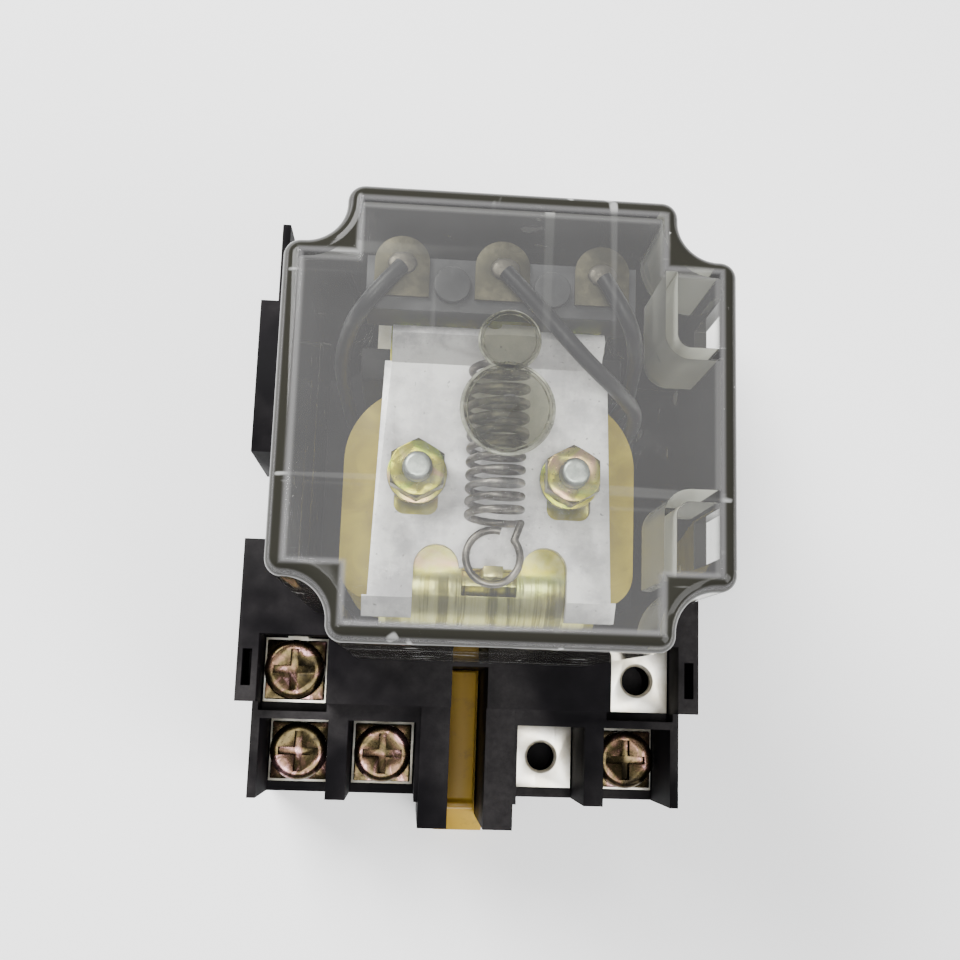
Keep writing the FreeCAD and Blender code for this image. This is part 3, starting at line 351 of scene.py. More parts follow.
def yellow_chromate(look):
    """Yellow-passivated steel: drifting green, gold and rose, with drawn lines over the bend."""
    p = Paint("yellow_chromate")
    drift = p.noise(95, 3, 0.55, p.mapped((1.0, 1.6, 1.0)), 0.6)
    tint = p.ramp(p.step(drift, 0.28, 0.74), chromate_stops(look))
    cloud = p.noise(700, 5, 0.65)
    tint = p.mix(p.step(cloud, 0.35, 0.75) * 0.35, tint, (0.80, 0.80, 0.62))
    lines = p.noise(900, 4, 0.65, p.mapped((1, 0.035, 0.05)))
    bend_bottom = ARMATURE_TOP - BEND_DEPTH
    over_bend = p.step(p.axis("Y"), BEND_START, BEND_START - 1.0 * MM)
    over_bend = over_bend * p.step(p.axis("Z"), bend_bottom, bend_bottom + 1.0 * MM)
    drawn = p.step(lines, 0.35, 0.68) * over_bend
    tint = p.mix(drawn * 0.65, tint, (0.92, 0.90, 0.45))
    tint = p.mix(p.step(lines, 0.52, 0.42) * over_bend * 0.75, tint, (0.12, 0.11, 0.02))
    height = cloud * 0.25 + lines * over_bend * 2.6
    return p.surface(tint, 0.24 + 0.16 * cloud, 0.92, p.bump(height, 0.05 * MM, 0.8))


def chromate_stops(look):
    """Colours that yellow passivation drifts through."""
    return [(0.0, look.chromate_green), (0.34, look.chromate_gold), (0.62, look.chromate_pale),
            (1.0, look.chromate_rose)]


def iridescent_zinc(look):
    """Small turned parts in yellow zinc, with quicker colour changes and painted shade on faces that do
    not look up.
    """
    p = Paint("iridescent_zinc")
    drift = p.noise(330, 3, 0.5, p.mapped((1, 1, 2)), 0.8)
    tint = p.ramp(p.step(drift, 0.30, 0.72), chromate_stops(look))
    grain = p.noise(2600, 4, 0.6)
    tint = p.mix(p.step(grain, 0.55, 0.8) * 0.3, tint, (0.32, 0.28, 0.14))
    # painted shade: faces that do not look up, the sides of the nuts and washers, are darkened
    tint = p.mix(p.step(p.up(), 0.94, 0.82) * 0.8, tint, (0.085, 0.070, 0.045))
    return p.surface(tint, 0.22 + 0.14 * grain, 0.9, p.bump(grain, 0.012 * MM, 0.6))


def threaded_zinc(look):
    """Stud ends: pale cut face, thread down the side, and the side darkened as painted shade."""
    p = Paint("threaded_zinc")
    cloud = p.noise(1300, 4, 0.65)
    thread = p.node("ShaderNodeTexWave", {"wave_type": "BANDS", "bands_direction": "Z"},
                    {"Vector": p.place, "Scale": 700.0, "Distortion": 0.4}, "Fac")
    tint = p.mix(p.step(cloud, 0.3, 0.72), (0.50, 0.55, 0.52), (0.86, 0.90, 0.86))
    # painted shade: faces that do not look up, the threaded side, are darkened; the thread bump uses the
    # same mask
    side_shade_and_thread = p.step(p.up(), 0.92, 0.60)
    tint = p.mix(side_shade_and_thread * 0.85, tint, (0.115, 0.125, 0.12))
    return p.surface(tint, 0.28 + 0.2 * cloud, 0.85, p.bump(thread * side_shade_and_thread + cloud * 0.3, 0.08 * MM, 0.8))


def screw_zinc_shaded(look):
    """Terminal screws and clamps: yellow zinc kept dark throughout as painted shade, with gold and rose
    lights.
    """
    p = Paint("screw_zinc_shaded")
    drift = p.noise(260, 4, 0.6, None, 1.0)
    # painted shade: every stop of the ramp is kept very dark
    tint = p.ramp(p.step(drift, 0.30, 0.70), [(0.0, (0.018, 0.014, 0.008)), (0.42, (0.060, 0.045, 0.019)),
                                              (0.76, (0.10, 0.056, 0.036)), (1.0, (0.42, 0.23, 0.23))])
    grime = p.step(p.noise(1200, 5, 0.7), 0.50, 0.75)
    tint = p.mix(grime * 0.45, tint, (0.05, 0.04, 0.025))
    return p.surface(tint, 0.24 + 0.22 * grime, 0.95, p.bump(p.noise(1800, 4), 0.02 * MM, 0.6))


def pale_plate(look):
    p = Paint("pale_plate")
    cloud = p.noise(300, 5, 0.6)
    tint = p.mix(p.step(cloud, 0.3, 0.7), (0.70, 0.64, 0.50), (0.94, 0.91, 0.82))
    scratch = p.step(p.noise(500, 3, 0.6, p.mapped((1, 0.05, 1))), 0.6, 0.72)
    rough = 0.30 + 0.15 * cloud - 0.05 * scratch
    return p.surface(tint, rough, 0.9, p.bump(cloud + scratch, 0.02 * MM, 0.5))


def bright_zinc(look):
    p = Paint("bright_zinc")
    cloud = p.noise(900, 5, 0.65)
    tint = p.mix(p.step(cloud, 0.3, 0.72), (0.45, 0.51, 0.53), (0.83, 0.88, 0.88))
    return p.surface(tint, 0.26 + 0.18 * cloud, 0.9, p.bump(cloud, 0.03 * MM, 0.7))


def spring_steel(look):
    """Dark oil-tempered wire with faint draw marks."""
    p = Paint("spring_steel")
    cloud = p.noise(700, 4, 0.6)
    tint = p.mix(p.step(cloud, 0.35, 0.7), look.spring_dark, look.spring_light)
    return p.surface(tint, 0.26 + 0.2 * cloud, 0.9, p.bump(p.noise(3000, 2), 0.012 * MM, 0.5))


def soft_iron(look):
    p = Paint("soft_iron")
    cloud = p.noise(500, 4, 0.6)
    return p.surface(p.mix(cloud, (0.30, 0.29, 0.28), (0.62, 0.61, 0.60)), 0.35 + 0.15 * cloud, 0.9)


def bright_brass(look):
    p = Paint("bright_brass")
    cloud = p.noise(600, 4, 0.6)
    return p.surface(p.mix(cloud, (0.62, 0.45, 0.18), (0.88, 0.74, 0.42)), 0.25 + 0.15 * cloud, 1.0)


def tarnished_bronze(look):
    """Contact arms: brown-olive spring bronze."""
    p = Paint("tarnished_bronze")
    cloud = p.noise(420, 5, 0.65)
    tint = p.ramp(p.step(cloud, 0.28, 0.75), [(0.0, (0.030, 0.027, 0.014)), (0.5, (0.058, 0.051, 0.027)),
                                              (1.0, (0.12, 0.105, 0.062))])
    return p.surface(tint, 0.36 + 0.2 * cloud, 0.7, p.bump(cloud, 0.03 * MM, 0.6))


def solder_metal(look):
    p = Paint("solder_metal")
    cloud = p.noise(900, 4, 0.6)
    return p.surface(p.mix(cloud, (0.06, 0.052, 0.040), (0.20, 0.18, 0.145)), 0.34 + 0.25 * cloud, 0.8,
                     p.bump(cloud, 0.06 * MM, 0.6))


def contact_silver(look):
    p = Paint("contact_silver")
    cloud = p.noise(900, 4, 0.6)
    return p.surface(p.mix(cloud, (0.55, 0.54, 0.52), (0.90, 0.89, 0.86)), 0.2 + 0.2 * cloud, 1.0)


def lead_rubber(look):
    """Black lead insulation with lint and a soft shine along it."""
    p = Paint("lead_rubber")
    lint = p.step(p.noise(2200, 5, 0.7), 0.60, 0.78)
    colour = p.mix(lint * 0.5, (0.014, 0.014, 0.017), (0.10, 0.10, 0.105))
    return p.surface(colour, 0.40 + 0.2 * lint, 0.0, p.bump(p.noise(1500, 3), 0.03 * MM, 0.5),
                     specular_ior_level=0.3)


def hazy_cover_edge_shade(look):
    """Clear moulding: thin haze and hair scratches face-on; dark olive painted shade where it is seen
    edge-on and in a band along the border of the top.
    """
    p = Paint("hazy_cover_edge_shade")
    haze = p.noise(120, 4, 0.6)
    hair_a = p.noise(300, 2, 0.5, p.mapped((1, 0.03, 1), turn=(0, 0, 0.5)), 0.3)
    hair_b = p.noise(340, 2, 0.5, p.mapped((0.03, 1, 1), turn=(0, 0, 0.25)), 0.3)
    hairs = p.step(hair_a, 0.665, 0.70) + p.step(hair_b, 0.675, 0.71)
    specks = p.step(p.noise(1500, 4, 0.7), 0.70, 0.76)
    facing = p.node("ShaderNodeLayerWeight", None, {"Blend": 0.5}, "Facing")
    across = p.axis("X").math("ABSOLUTE")
    along = p.axis("Y").math("ABSOLUTE")
    # painted shade: a dark band on the upward faces along the cover's border and round its notched
    # corners, where the walls show through the top
    border_shade = p.step(across.math("MAXIMUM", along), COVER_HALF - 1.9 * MM, COVER_HALF - 1.1 * MM)
    inner = COVER_HALF - COVER_NOTCH
    corner = p.step(across.math("MINIMUM", along), inner - 1.6 * MM, inner - 0.8 * MM)
    border_shade = border_shade.math("MAXIMUM", corner)
    border_shade = border_shade * p.step(p.up(), 0.5, 0.8)
    # painted shade: dark where the cover is seen edge-on and on the border band
    edge_on_shade = p.step(facing, 0.24, 0.58).math("MAXIMUM", border_shade * 0.97)
    rim = p.step(facing, 0.90, 0.995)
    # painted highlight: pale colour on the pocket ribs
    rib_highlight = p.step(p.axis("X"), RIB_INNER - 0.2 * MM, RIB_INNER)
    rib_highlight = rib_highlight * p.step(p.axis("X"), RIB_OUTER + 0.2 * MM, RIB_OUTER)
    rib_highlight = rib_highlight * p.step(p.axis("Z"), RIB_BOTTOM, RIB_BOTTOM + 0.3 * MM)
    rib_highlight = rib_highlight * p.step(p.axis("Z"), RIB_TOP + 0.1 * MM, RIB_TOP)
    colour = p.mix(edge_on_shade, look.cover_haze, look.cover_edge_shade)
    colour = p.mix(rib_highlight * 0.8, colour, look.cover_rib_highlight)
    colour = p.mix(p.node("ShaderNodeClamp", None, {0: specks + hairs * 0.7}), colour, (0.40, 0.40, 0.39))
    rough = 0.05 + 0.08 * haze + 0.12 * hairs
    body = p.principled(colour, rough, 0.0, p.bump(p.noise(75, 2), 0.05 * MM, 0.5), ior=1.5,
                        specular_ior_level=0.14)
    clear = p.node("ShaderNodeBsdfTransparent", None, {"Color": (0.96, 0.965, 0.945, 1)})
    edges = edge_on_shade * look.cover_wall_density + rim * look.cover_rim_density
    amount = look.cover_density + 0.03 * haze + edges + 0.12 * specks + 0.06 * hairs
    amount = p.node("ShaderNodeClamp", None, {0: amount})
    mixed = p.node("ShaderNodeMixShader", None, {0: amount, 1: clear, 2: body})
    p.node("ShaderNodeOutputMaterial", None, {"Surface": mixed})
    return p.material


def lens_plastic(look):
    """Clear boss that bends the view of the spring below it."""
    p = Paint("lens_plastic")
    ripple = p.bump(p.noise(260, 2), 0.03 * MM, 0.4)
    bend = p.node("ShaderNodeBsdfRefraction", None,
                  {"Color": look.lens_tint, "Roughness": 0.015, "IOR": 1.46, "Normal": ripple})
    shine = p.principled((0.35, 0.35, 0.30), 0.06 + 0.05 * p.noise(300), 0.0, ripple, ior=1.5)
    facing = p.node("ShaderNodeLayerWeight", None, {"Blend": 0.5}, "Facing")
    amount = p.step(facing, 0.40, 0.90, 0.06, 0.45)
    mixed = p.node("ShaderNodeMixShader", None, {0: amount, 1: bend, 2: shine})
    p.node("ShaderNodeOutputMaterial", None, {"Surface": mixed})
    return p.material


def rim_highlight_plastic(look):
    """Painted highlight: bright ring where the rounded edge of a boss gathers light."""
    p = Paint("rim_highlight_plastic")
    highlight_patch = p.noise(420, 3, 0.6)
    colour = p.mix(p.step(highlight_patch, 0.35, 0.65), (0.16, 0.16, 0.11), (0.72, 0.72, 0.60))
    body = p.principled(colour, 0.12 + 0.1 * highlight_patch, 0.0, None, ior=1.5)
    clear = p.node("ShaderNodeBsdfTransparent", None, {"Color": (0.85, 0.85, 0.78, 1)})
    amount = p.step(highlight_patch, 0.30, 0.75, 0.45, 0.85)
    mixed = p.node("ShaderNodeMixShader", None, {0: amount, 1: clear, 2: body})
    p.node("ShaderNodeOutputMaterial", None, {"Surface": mixed})
    return p.material


def floor_paint(look):
    p = Paint("pale_floor")
    return p.surface(look.floor, 0.8, 0.0, None, emission_color=look.floor,
                     emission_strength=look.floor_glow)


FINISHES = {
    "black_socket": socket_plastic, "black_phenolic": phenolic, "mustard_plastic": slider_plastic,
    "clear_cover": hazy_cover_edge_shade, "coil_plastic": coil_plastic, "yellow_tape": wrapping_tape,
    "plated_brass": pale_plate, "brass_pin": bright_brass, "spring_bronze": tarnished_bronze,
    "copper_wire": copper_wire, "yellow_zinc": yellow_chromate, "clear_zinc": bright_zinc,
    "dark_steel": spring_steel, "bare_steel": soft_iron, "silver_contact": contact_silver,
    "aluminium_plate": satin_aluminium, "lead_insulation": lead_rubber,
}
made_finishes = {}


def finish_of(maker):
    """The material a maker function writes, made once."""
    if maker not in made_finishes:
        made_finishes[maker] = maker(bpy.context.scene.relay_look)
    return made_finishes[maker]


# ------------------------------------------------------------------ modelling helpers
def deselect():
    for thing in bpy.context.view_layer.objects:
        thing.select_set(False)


def only(piece):
    deselect()
    piece.select_set(True)
    bpy.context.view_layer.objects.active = piece


def apply_modifier(piece, kind, **settings):
    only(piece)
    modifier = piece.modifiers.new(kind.title(), kind)
    for key, value in settings.items():
        setattr(modifier, key, value)
    bpy.ops.object.modifier_apply(modifier=modifier.name)


def in_edit_mode(piece, *steps):
    """Runs edit-mode steps on the whole of a piece."""
    only(piece)
    bpy.ops.object.mode_set(mode="EDIT")
    for step in steps:
        step()
    bpy.ops.object.mode_set(mode="OBJECT")


def whole(action, **settings):
    """Selects everything, then runs an edit-mode operator."""
    def run():
        bpy.ops.mesh.select_all(action="SELECT")
        action(**settings)
    return run


def choose_faces(piece, test):
    """Selects the faces of a piece that pass a test, from object mode."""
    mesh = piece.data
    for group in (mesh.vertices, mesh.edges, mesh.polygons):
        group.foreach_set("select", [False] * len(group))
    for face in mesh.polygons:
        face.select = test(face)
    bpy.context.tool_settings.mesh_select_mode = (False, False, True)


def settle(piece):
    """Puts the piece's place into its mesh."""
    only(piece)
    bpy.ops.object.transform_apply(location=True, rotation=True, scale=True)


def smooth(piece, angle=32):
    only(piece)
    bpy.ops.object.shade_smooth_by_angle(angle=math.radians(angle))


def from_node(node, name, round_width=0.0, segments=2, angle=28):
    """A merged copy of a CAD piece, its sharp edges rounded."""
    piece = bpy.data.objects.new(name, NODES[node].data.copy())
    bpy.context.scene.collection.objects.link(piece)
    piece.data.materials.clear()
    in_edit_mode(piece, whole(bpy.ops.mesh.remove_doubles, threshold=0.001 * MM),
                 whole(bpy.ops.mesh.dissolve_limited, angle_limit=math.radians(0.6)))
    if round_width > 0:
        apply_modifier(piece, "BEVEL", width=round_width, segments=segments, limit_method="ANGLE",
                       angle_limit=math.radians(angle), use_clamp_overlap=True, harden_normals=False)
    smooth(piece, angle + 4)
    return piece


def belong(piece, body, slot, maker=None, nodes=(), held=None):
    """Gives a piece its body, its finish and the CAD nodes it stands for.

    held is the pair of places on the body and on the armature between which the piece runs; only whether
    it is given is read, and then the piece keeps no body, its place baked into its mesh."""
    piece.data.materials.clear()
    piece.data.materials.append(finish_of(maker or FINISHES[slot]))
    if held:
        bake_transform(piece)
    else:
        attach(piece, body)
    if nodes:
        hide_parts(*nodes)


def rounded(node, name, body, slot, width, maker=None, segments=2):
    """Rounds the sharp edges of a CAD piece and gives it its body and finish."""
    piece = from_node(node, name, width, segments)
    belong(piece, body, slot, maker, nodes=[node])
    return piece


def paint_node(node, maker=None):
    """Gives a CAD node that keeps its shape its detailed finish."""
    slot = next(s["material_slot"] for s in RECORD["subparts"] if s["node"] == node)
    material = finish_of(maker or FINISHES[slot])
    for place in NODES[node].material_slots:
        place.material = material


def joined(pieces, name):
    deselect()
    for piece in pieces:
        piece.select_set(True)
    bpy.context.view_layer.objects.active = pieces[0]
    if len(pieces) > 1:
        bpy.ops.object.join()
    pieces[0].name = name
    return pieces[0]


def wire_mesh(name, points, radius, order=3, resolution=8, round_steps=6):
    """Round wire along a smooth curve through given control points."""
    bpy.ops.curve.primitive_nurbs_path_add()
    wire = bpy.context.object
    wire.name = name
    data = wire.data
    data.splines.clear()
    spline = data.splines.new("NURBS")
    spline.points.add(len(points) - 1)
    for point, place in zip(spline.points, points):
        point.co = (*place, 1.0)
    spline.order_u = order
    spline.use_endpoint_u = True
    spline.resolution_u = resolution
    data.dimensions = "3D"
    data.bevel_depth = radius
    data.bevel_resolution = round_steps
    data.use_fill_caps = True
    only(wire)
    bpy.ops.object.convert(target="MESH")
    wire = bpy.context.object
    settle(wire)
    in_edit_mode(wire, whole(bpy.ops.mesh.remove_doubles, threshold=0.001 * MM),
                 whole(bpy.ops.mesh.normals_make_consistent, inside=False))
    smooth(wire, 50)
    return wire


def turned(name, outline, place, steps=64):
    """Solid of revolution about Z from an outline of (radius, height) points."""
    deselect()
    bpy.ops.mesh.primitive_plane_add(size=1.0)
    piece = bpy.context.object
    piece.name = name
    mesh = bmesh.new()
    points = [mesh.verts.new((out, 0, up)) for out, up in outline]
    for one, two in zip(points, points[1:]):
        mesh.edges.new((one, two))
    mesh.to_mesh(piece.data)
    mesh.free()
    bpy.context.scene.cursor.location = (0, 0, 0)
    in_edit_mode(piece,
                 whole(bpy.ops.mesh.spin, steps=steps, angle=math.tau, center=(0, 0, 0), axis=(0, 0, 1)),
                 whole(bpy.ops.mesh.remove_doubles, threshold=0.0005 * MM),
                 whole(bpy.ops.mesh.normals_make_consistent, inside=False))
    piece.location = place
    settle(piece)
    return piece


# ------------------------------------------------------------------ settings
class RelayLook(bpy.types.PropertyGroup):
    """Colours and amounts of the finishes."""
    black_dark: FloatVectorProperty(
        name="Socket, dark", description="Darker tone of the black moulding",
        subtype="COLOR", default=(0.0035, 0.0032, 0.0038))
    black_light: FloatVectorProperty(
        name="Socket, light", description="Lighter tone of the black moulding",
        subtype="COLOR", default=(0.0075, 0.0066, 0.0078))
    dust: FloatProperty(
        name="Dust", description="Dust on faces that look up",
        subtype="FACTOR", default=0.12, min=0, max=1)
    slider_dark: FloatVectorProperty(
        name="Slider, dark", description="Darker tone of the rail slider",
        subtype="COLOR", default=(0.26, 0.145, 0.006))
    slider_light: FloatVectorProperty(
        name="Slider, light", description="Lighter tone of the rail slider",
        subtype="COLOR", default=(0.46, 0.285, 0.018))
    tape_dark: FloatVectorProperty(
        name="Tape, dark", description="Darker tone of the coil tape",
        subtype="COLOR", default=(0.36, 0.27, 0.010))
    tape_light: FloatVectorProperty(
        name="Tape, light", description="Lighter tone of the coil tape",
        subtype="COLOR", default=(0.60, 0.47, 0.022))
    aluminium_dark: FloatVectorProperty(
        name="Aluminium, dark", description="Darker clouds of the plate",
        subtype="COLOR", default=(0.56, 0.54, 0.575))
    aluminium_light: FloatVectorProperty(
        name="Aluminium, light", description="Lighter clouds of the plate",
        subtype="COLOR", default=(0.98, 0.96, 0.98))
    chromate_green: FloatVectorProperty(
        name="Chromate green", description="Green of the yellow passivation",
        subtype="COLOR", default=(0.27, 0.36, 0.018))
    chromate_gold: FloatVectorProperty(
        name="Chromate gold", description="Gold of the yellow passivation",
        subtype="COLOR", default=(0.50, 0.44, 0.030))
    chromate_pale: FloatVectorProperty(
        name="Chromate pale", description="Pale straw of the yellow passivation",
        subtype="COLOR", default=(0.62, 0.58, 0.12))
    chromate_rose: FloatVectorProperty(
        name="Chromate rose", description="Rose of the yellow passivation",
        subtype="COLOR", default=(0.76, 0.44, 0.30))
    spring_dark: FloatVectorProperty(
        name="Spring, dark", description="Darker tone of the spring wire",
        subtype="COLOR", default=(0.10, 0.09, 0.08))
    spring_light: FloatVectorProperty(
        name="Spring, light", description="Lighter tone of the spring wire",
        subtype="COLOR", default=(0.34, 0.31, 0.28))
    cover_haze: FloatVectorProperty(
        name="Cover haze", description="Colour of the haze on the clear cover",
        subtype="COLOR", default=(0.34, 0.335, 0.34))
    # painted shade: the colour the cover takes where it is seen edge-on
    cover_edge_shade: FloatVectorProperty(
        name="Cover edge", description="Colour of the cover seen edge-on",
        subtype="COLOR", default=(0.011, 0.0105, 0.006))
    # painted highlight colour of the pocket ribs
    cover_rib_highlight: FloatVectorProperty(
        name="Cover rib", description="Colour of the pocket ribs, which catch the light",
        subtype="COLOR", default=(0.72, 0.72, 0.64))
    cover_density: FloatProperty(
        name="Cover density", description="Haze of the cover seen face-on",
        subtype="FACTOR", default=0.078, min=0, max=1)
    cover_wall_density: FloatProperty(
        name="Cover wall density", description="How solid the cover's walls look from above",
        subtype="FACTOR", default=0.93, min=0, max=1)
    cover_rim_density: FloatProperty(
        name="Cover rim density", description="How solid the cover looks right on edge",
        subtype="FACTOR", default=0.06, min=0, max=1)
    lens_tint: FloatVectorProperty(
        name="Lens tint", description="Colour of the two round bosses",
        subtype="COLOR", size=4, default=(0.70, 0.70, 0.62, 1.0))
    floor: FloatVectorProperty(
        name="Floor", description="Colour of the floor",
        subtype="COLOR", default=(0.95, 0.95, 0.95))
    floor_glow: FloatProperty(
        name="Floor glow", description="Light the floor gives off, so it stays pale round the object",
        default=0.35, min=0, max=1)


class RelaySizes(bpy.types.PropertyGroup):
    """Sizes of the rounded edges and small details."""
    moulding_round: FloatProperty(
        name="Moulding edge", description="Rounding of the moulded edges",
        unit="LENGTH", default=0.22 * MM)
    sheet_round: FloatProperty(
        name="Sheet edge", description="Rounding of the stamped sheet edges and of the screw heads",
        unit="LENGTH", default=0.12 * MM)
    soft_round: FloatProperty(
        name="Soft edge", description="Rounding of the cover's edges and of the coil tape",
        unit="LENGTH", default=0.18 * MM)
    clamp_round: FloatProperty(
        name="Clamp edge", description="Rounding of the wire clamps",
        unit="LENGTH", default=0.2 * MM)
    carrier_round: FloatProperty(
        name="Carrier edge", description="Rounding of the contact carrier",
        unit="LENGTH", default=0.35 * MM)
    rivet_round: FloatProperty(
        name="Rivet edge", description="Rounding of the carrier's rivet heads",
        unit="LENGTH", default=0.15 * MM)
    arm_round: FloatProperty(
        name="Arm edge", description="Rounding of the moving contact arms",
        unit="LENGTH", default=0.1 * MM)
    washer_round: FloatProperty(
        name="Washer edge", description="Rounding of the flat and split washers",
        unit="LENGTH", default=0.08 * MM)
    nut_round: FloatProperty(
        name="Nut edge", description="Rounding of the nuts",
        unit="LENGTH", default=0.05 * MM)
    stud_round: FloatProperty(
        name="Stud end", description="Rounding of the stud ends",
        unit="LENGTH", default=0.3 * MM)
    lead_radius: FloatProperty(
        name="Lead radius", description="Radius of the flexible leads over their insulation",
        unit="LENGTH", default=0.7 * MM)
    lens_side: FloatProperty(
        name="Lens side", description="Upright side of the round bosses",
        unit="LENGTH", default=0.22 * MM)
    lens_dome: FloatProperty(
        name="Lens dome", description="Depth of the dome under the round bosses",
        unit="LENGTH", default=0.46 * MM)


class RelayOperator(bpy.types.Operator):
    """Shared settings of the relay operators"""
    bl_idname = "relay.base_operator"
    bl_label = "Relay"
    bl_options = {"REGISTER", "UNDO"}

    @property
    def sizes(self):
        return bpy.context.scene.relay_sizes

    def execute(self, context):
        self.build()
        return {"FINISHED"}


class RELAY_OT_socket(RelayOperator):
    """Black two-tier socket: housing, base plate and rivets"""
    bl_idname = "relay.socket"
    bl_label = "Socket"

    def build(self):
        edge = self.sizes.moulding_round
        rounded("socket_body", "socket_housing", "socket", "black_socket", edge)
        rounded("socket_base_plate", "socket_bottom", "socket", "black_socket", edge)
        paint_node("socket_rivets")
        paint_node("pin_sleeves")


class RELAY_OT_terminals(RelayOperator):
    """Terminal plates, wire clamps and screws"""
    bl_idname = "relay.terminals"
    bl_label = "Terminals"

    def build(self):
        sizes = self.sizes
        rounded("terminal_strips", "terminal_plates", "socket", "plated_brass", sizes.sheet_round)
        rounded("terminal_clamps", "wire_clamps", "socket", "yellow_zinc", sizes.clamp_round, screw_zinc_shaded)
        rounded("terminal_screws", "clamp_screws", "socket", "yellow_zinc", sizes.sheet_round, screw_zinc_shaded)


class RELAY_OT_slider(RelayOperator):
    """Mustard rail slider with its pull tab"""
    bl_idname = "relay.slider"
    bl_label = "Rail slider"

    def build(self):
        rounded("rail_slider", "slider", "slider", "mustard_plastic", self.sizes.moulding_round)


class RELAY_OT_plug_base(RelayOperator):
    """Relay base with its key and pins"""
    bl_idname = "relay.plug_base"
    bl_label = "Plug base"

    def build(self):
        rounded("relay_base", "plug_base", "relay", "black_phenolic", self.sizes.moulding_round)
        paint_node("relay_key")
        paint_node("relay_pins")
        paint_node("frame_screws")


class RELAY_OT_cover(RelayOperator):
    """Clear notched cover with its corner ribs and two round bosses"""
    bl_idname = "relay.cover"
    bl_label = "Clear cover"

    def build(self):
        cover = from_node("cover", "clear_shell", self.sizes.soft_round)
        choose_faces(cover, self.on_boss)
        bpy.ops.object.mode_set(mode="EDIT")
        bpy.ops.mesh.delete(type="FACE")
        bpy.ops.object.mode_set(mode="OBJECT")
        belong(cover, "clear_cover", "clear_cover", nodes=["cover"])
        lenses = [self.lens(y, radius, COVER_CEILING) for y, radius in BOSSES]
        piece = joined(lenses, "lens_bosses")
        smooth(piece, 40)
        belong(piece, "clear_cover", "clear_cover", lens_plastic)
        # rings round the bosses that carry a painted highlight
        rims = [self.rim(y, radius, COVER_CEILING, width) for y, radius, width in BOSS_RINGS]
        piece = joined(rims, "lens_rim_highlights")
        bpy.ops.object.shade_smooth()
        belong(piece, "clear_cover", "clear_cover", rim_highlight_plastic)

    @staticmethod
    def on_boss(face):
        """Whether a face of the cover belongs to a boss, which the lenses stand in for."""
        place = face.center
        in_height = COVER_CEILING - 1.2 * MM < place.z < COVER_CEILING + 0.02 * MM
        in_plan = abs(place.x) < BOSS_REACH_X and abs(place.y - BOSS_MIDDLE_Y) < BOSS_REACH_Y
        return in_height and in_plan and face.area < BOSS_FACE_AREA

    def rim(self, y, radius, top, width):
        """Rounded edge of a boss, a ring that carries a painted highlight."""
        deselect()
        bpy.ops.mesh.primitive_torus_add(location=(0, y, top - self.sizes.lens_side - width),
                                         major_segments=72, minor_segments=10, major_radius=radius,
                                         minor_radius=width)
        ring = bpy.context.object
        settle(ring)
        in_edit_mode(ring, whole(bpy.ops.transform.vertex_random, offset=0.006 * MM, seed=2))
        only(ring)
        return ring

    def lens(self, y, radius, top):
        """Round boss with an upright side and a gently domed lower face."""
        side = self.sizes.lens_side
        dome = self.sizes.lens_dome
        rings = 10
        outline = [(0.0, top), (radius, top), (radius, top - side)]
        for step in range(1, rings + 1):
            out = radius * (1 - step / rings)
            outline.append((out, top - side - dome * (1 - (out / radius) ** 2)))
        return turned("lens", outline, (0, y, 0))


class RELAY_OT_magnet(RelayOperator):
    """Yoke, core, bobbin, winding and coil tape"""
    bl_idname = "relay.magnet"
    bl_label = "Magnet"

    def build(self):
        rounded("yoke", "yoke_frame", "relay", "yellow_zinc", self.sizes.sheet_round)
        rounded("coil_tape", "coil_wrap", "relay", "yellow_tape", self.sizes.soft_round)
        for node in ("core", "bobbin", "coil_winding", "coil_leads"):
            paint_node(node)


class RELAY_OT_contacts(RelayOperator):
    """Contact block, fixed strips, carrier and moving arms"""
    bl_idname = "relay.contacts"
    bl_label = "Contacts"

    def build(self):
        sizes = self.sizes
        rounded("contact_block", "contact_post", "relay", "black_phenolic", sizes.moulding_round)
        for node in ("nc_contact_strips", "no_contact_strips", "fixed_contacts", "moving_contacts"):
            paint_node(node)
        rounded("carrier_rivets", "carrier_studs", "armature_set", "clear_zinc", sizes.rivet_round,
                carrier_plastic, 3)
        rounded("contact_carrier", "carrier_bar", "armature_set", "black_phenolic", sizes.carrier_round,
                carrier_plastic, 3)
        rounded("moving_contact_arms", "contact_arms", "armature_set", "spring_bronze", sizes.arm_round)


class RELAY_OT_armature(RelayOperator):
    """Armature, adjusting plate, studs, washers and nuts"""
    bl_idname = "relay.armature"
    bl_label = "Armature"

    def build(self):
        sizes = self.sizes
        moving = "armature_set"
        rounded("armature", "armature_blade", moving, "yellow_zinc", sizes.sheet_round)
        rounded("adjusting_plate", "stop_plate", moving, "aluminium_plate", sizes.sheet_round)
        rounded("flat_washers", "plain_washers", moving, "yellow_zinc", sizes.washer_round,
                iridescent_zinc)
        rounded("stud_nuts", "hex_nuts", moving, "yellow_zinc", sizes.nut_round, iridescent_zinc)
        rounded("spring_washers", "split_washers", moving, "dark_steel", sizes.washer_round)
        rounded("armature_studs", "plate_studs", moving, "clear_zinc", sizes.stud_round, threaded_zinc, 3)


class RELAY_OT_spring(RelayOperator):
    """Return spring with its end ring and upper hook"""
    bl_idname = "relay.spring"
    bl_label = "Return spring"

    def build(self):
        spring = from_node("return_spring", "pull_spring")
        smooth(spring, 60)
        start = Vector((MECHANISM_X, low("return_spring").y, middle("return_spring").z))
        end = Vector((MECHANISM_X, high("return_spring").y, middle("return_spring").z))
        belong(spring, "relay", "dark_steel", nodes=["return_spring"], held=(start, end))


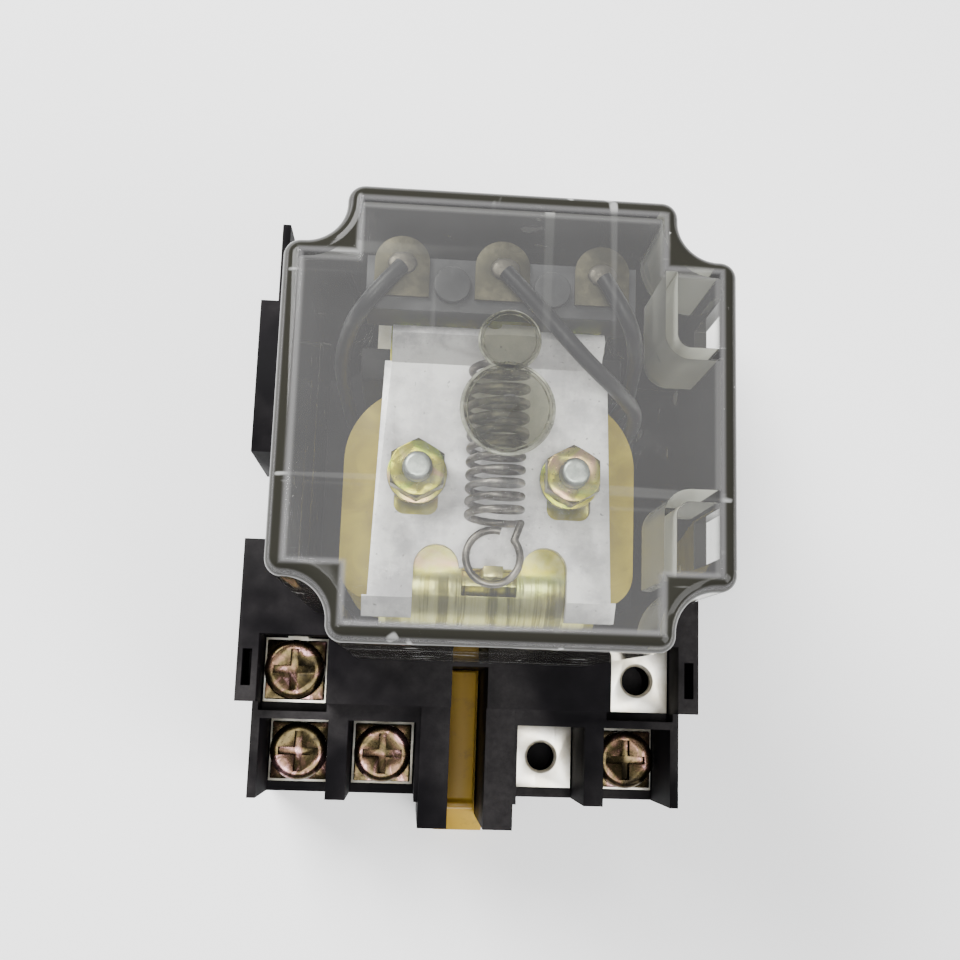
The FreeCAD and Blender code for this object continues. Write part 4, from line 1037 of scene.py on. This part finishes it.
class RELAY_OT_leads(RelayOperator):
    """Flexible leads and their solder joints"""
    bl_idname = "relay.leads"
    bl_label = "Flexible leads"

    def build(self):
        for number, route in enumerate(LEAD_ROUTES):
            points = [Vector((x * MM + MECHANISM_X, y * MM, z * MM)) for x, y, z in route]
            lead = wire_mesh("lead_%d" % (number + 1), points, self.sizes.lead_radius)
            ends = (points[-1], points[0])
            belong(lead, "relay", "lead_insulation", nodes=["flexible_leads"], held=ends)
            blob = self.solder(points[0])
            blob.name = "solder_%d" % (number + 1)
            belong(blob, "armature_set", "bare_steel", solder_metal)

    def solder(self, place):
        """Low uneven mound where a lead meets its lobe."""
        deselect()
        bpy.ops.mesh.primitive_uv_sphere_add(segments=24, ring_count=14, radius=1.0,
                                             location=(place.x, place.y + 0.5 * MM, LOBE_TOP + 0.05 * MM))
        blob = bpy.context.object
        blob.scale = SOLDER_SIZE
        settle(blob)
        in_edit_mode(blob, whole(bpy.ops.transform.vertex_random, offset=0.05 * MM, seed=3))
        only(blob)
        bpy.ops.object.shade_smooth()
        return blob


class RELAY_OT_stage(RelayOperator):
    """Floor, lights and camera"""
    bl_idname = "relay.stage"
    bl_label = "Stage"

    def build(self):
        deselect()
        bpy.ops.mesh.primitive_plane_add(size=3.0, location=(0, 0, -0.05 * MM))
        floor = bpy.context.object
        floor.name = "floor"
        floor.data.materials.append(finish_of(floor_paint))
        for name, place, size, power in LAMPS:
            bpy.ops.object.light_add(type="AREA", location=place)
            lamp = bpy.context.object
            lamp.name = name
            lamp.data.size = size
            lamp.data.energy = power
            aim = LAMP_TARGET - Vector(place)
            lamp.rotation_euler = aim.to_track_quat("-Z", "Y").to_euler()
        world = bpy.data.worlds.new("studio")
        bpy.context.scene.world = world
        world.use_nodes = True
        world.node_tree.nodes["Background"].inputs["Color"].default_value = (0.95, 0.97, 1.0, 1)
        world.node_tree.nodes["Background"].inputs["Strength"].default_value = 0.30
        bpy.ops.object.camera_add(location=CAMERA_PLACE, rotation=[math.radians(a) for a in CAMERA_TURN])
        camera = bpy.context.object
        camera.name = "main_camera"
        camera.data.lens = 45.0
        camera.data.sensor_width = 36.0
        camera.data.shift_x, camera.data.shift_y = CAMERA_SHIFT
        camera.data.clip_start = 0.005
        bpy.context.scene.camera = camera


class RELAY_PT_panel(bpy.types.Panel):
    """Lists the relay's operators"""
    bl_label = "Relay"
    bl_idname = "RELAY_PT_panel"
    bl_space_type = "VIEW_3D"
    bl_region_type = "UI"
    bl_category = "Relay"

    def draw(self, context):
        for operator in OPERATORS:
            self.layout.operator(operator.bl_idname)


OPERATORS = (RELAY_OT_socket, RELAY_OT_terminals, RELAY_OT_slider, RELAY_OT_plug_base, RELAY_OT_magnet,
             RELAY_OT_contacts, RELAY_OT_armature, RELAY_OT_spring, RELAY_OT_leads, RELAY_OT_cover,
             RELAY_OT_stage)
CLASSES = (RelayLook, RelaySizes, *OPERATORS, RELAY_PT_panel)


def register():
    for kind in CLASSES:
        bpy.utils.register_class(kind)
    bpy.types.Scene.relay_look = PointerProperty(type=RelayLook)
    bpy.types.Scene.relay_sizes = PointerProperty(type=RelaySizes)


def unregister():
    del bpy.types.Scene.relay_sizes
    del bpy.types.Scene.relay_look
    for kind in reversed(CLASSES):
        bpy.utils.unregister_class(kind)


def main():
    register()
    for operator in OPERATORS:
        group, name = operator.bl_idname.split(".")
        getattr(getattr(bpy.ops, group), name)()


if __name__ == "__main__":
    main()
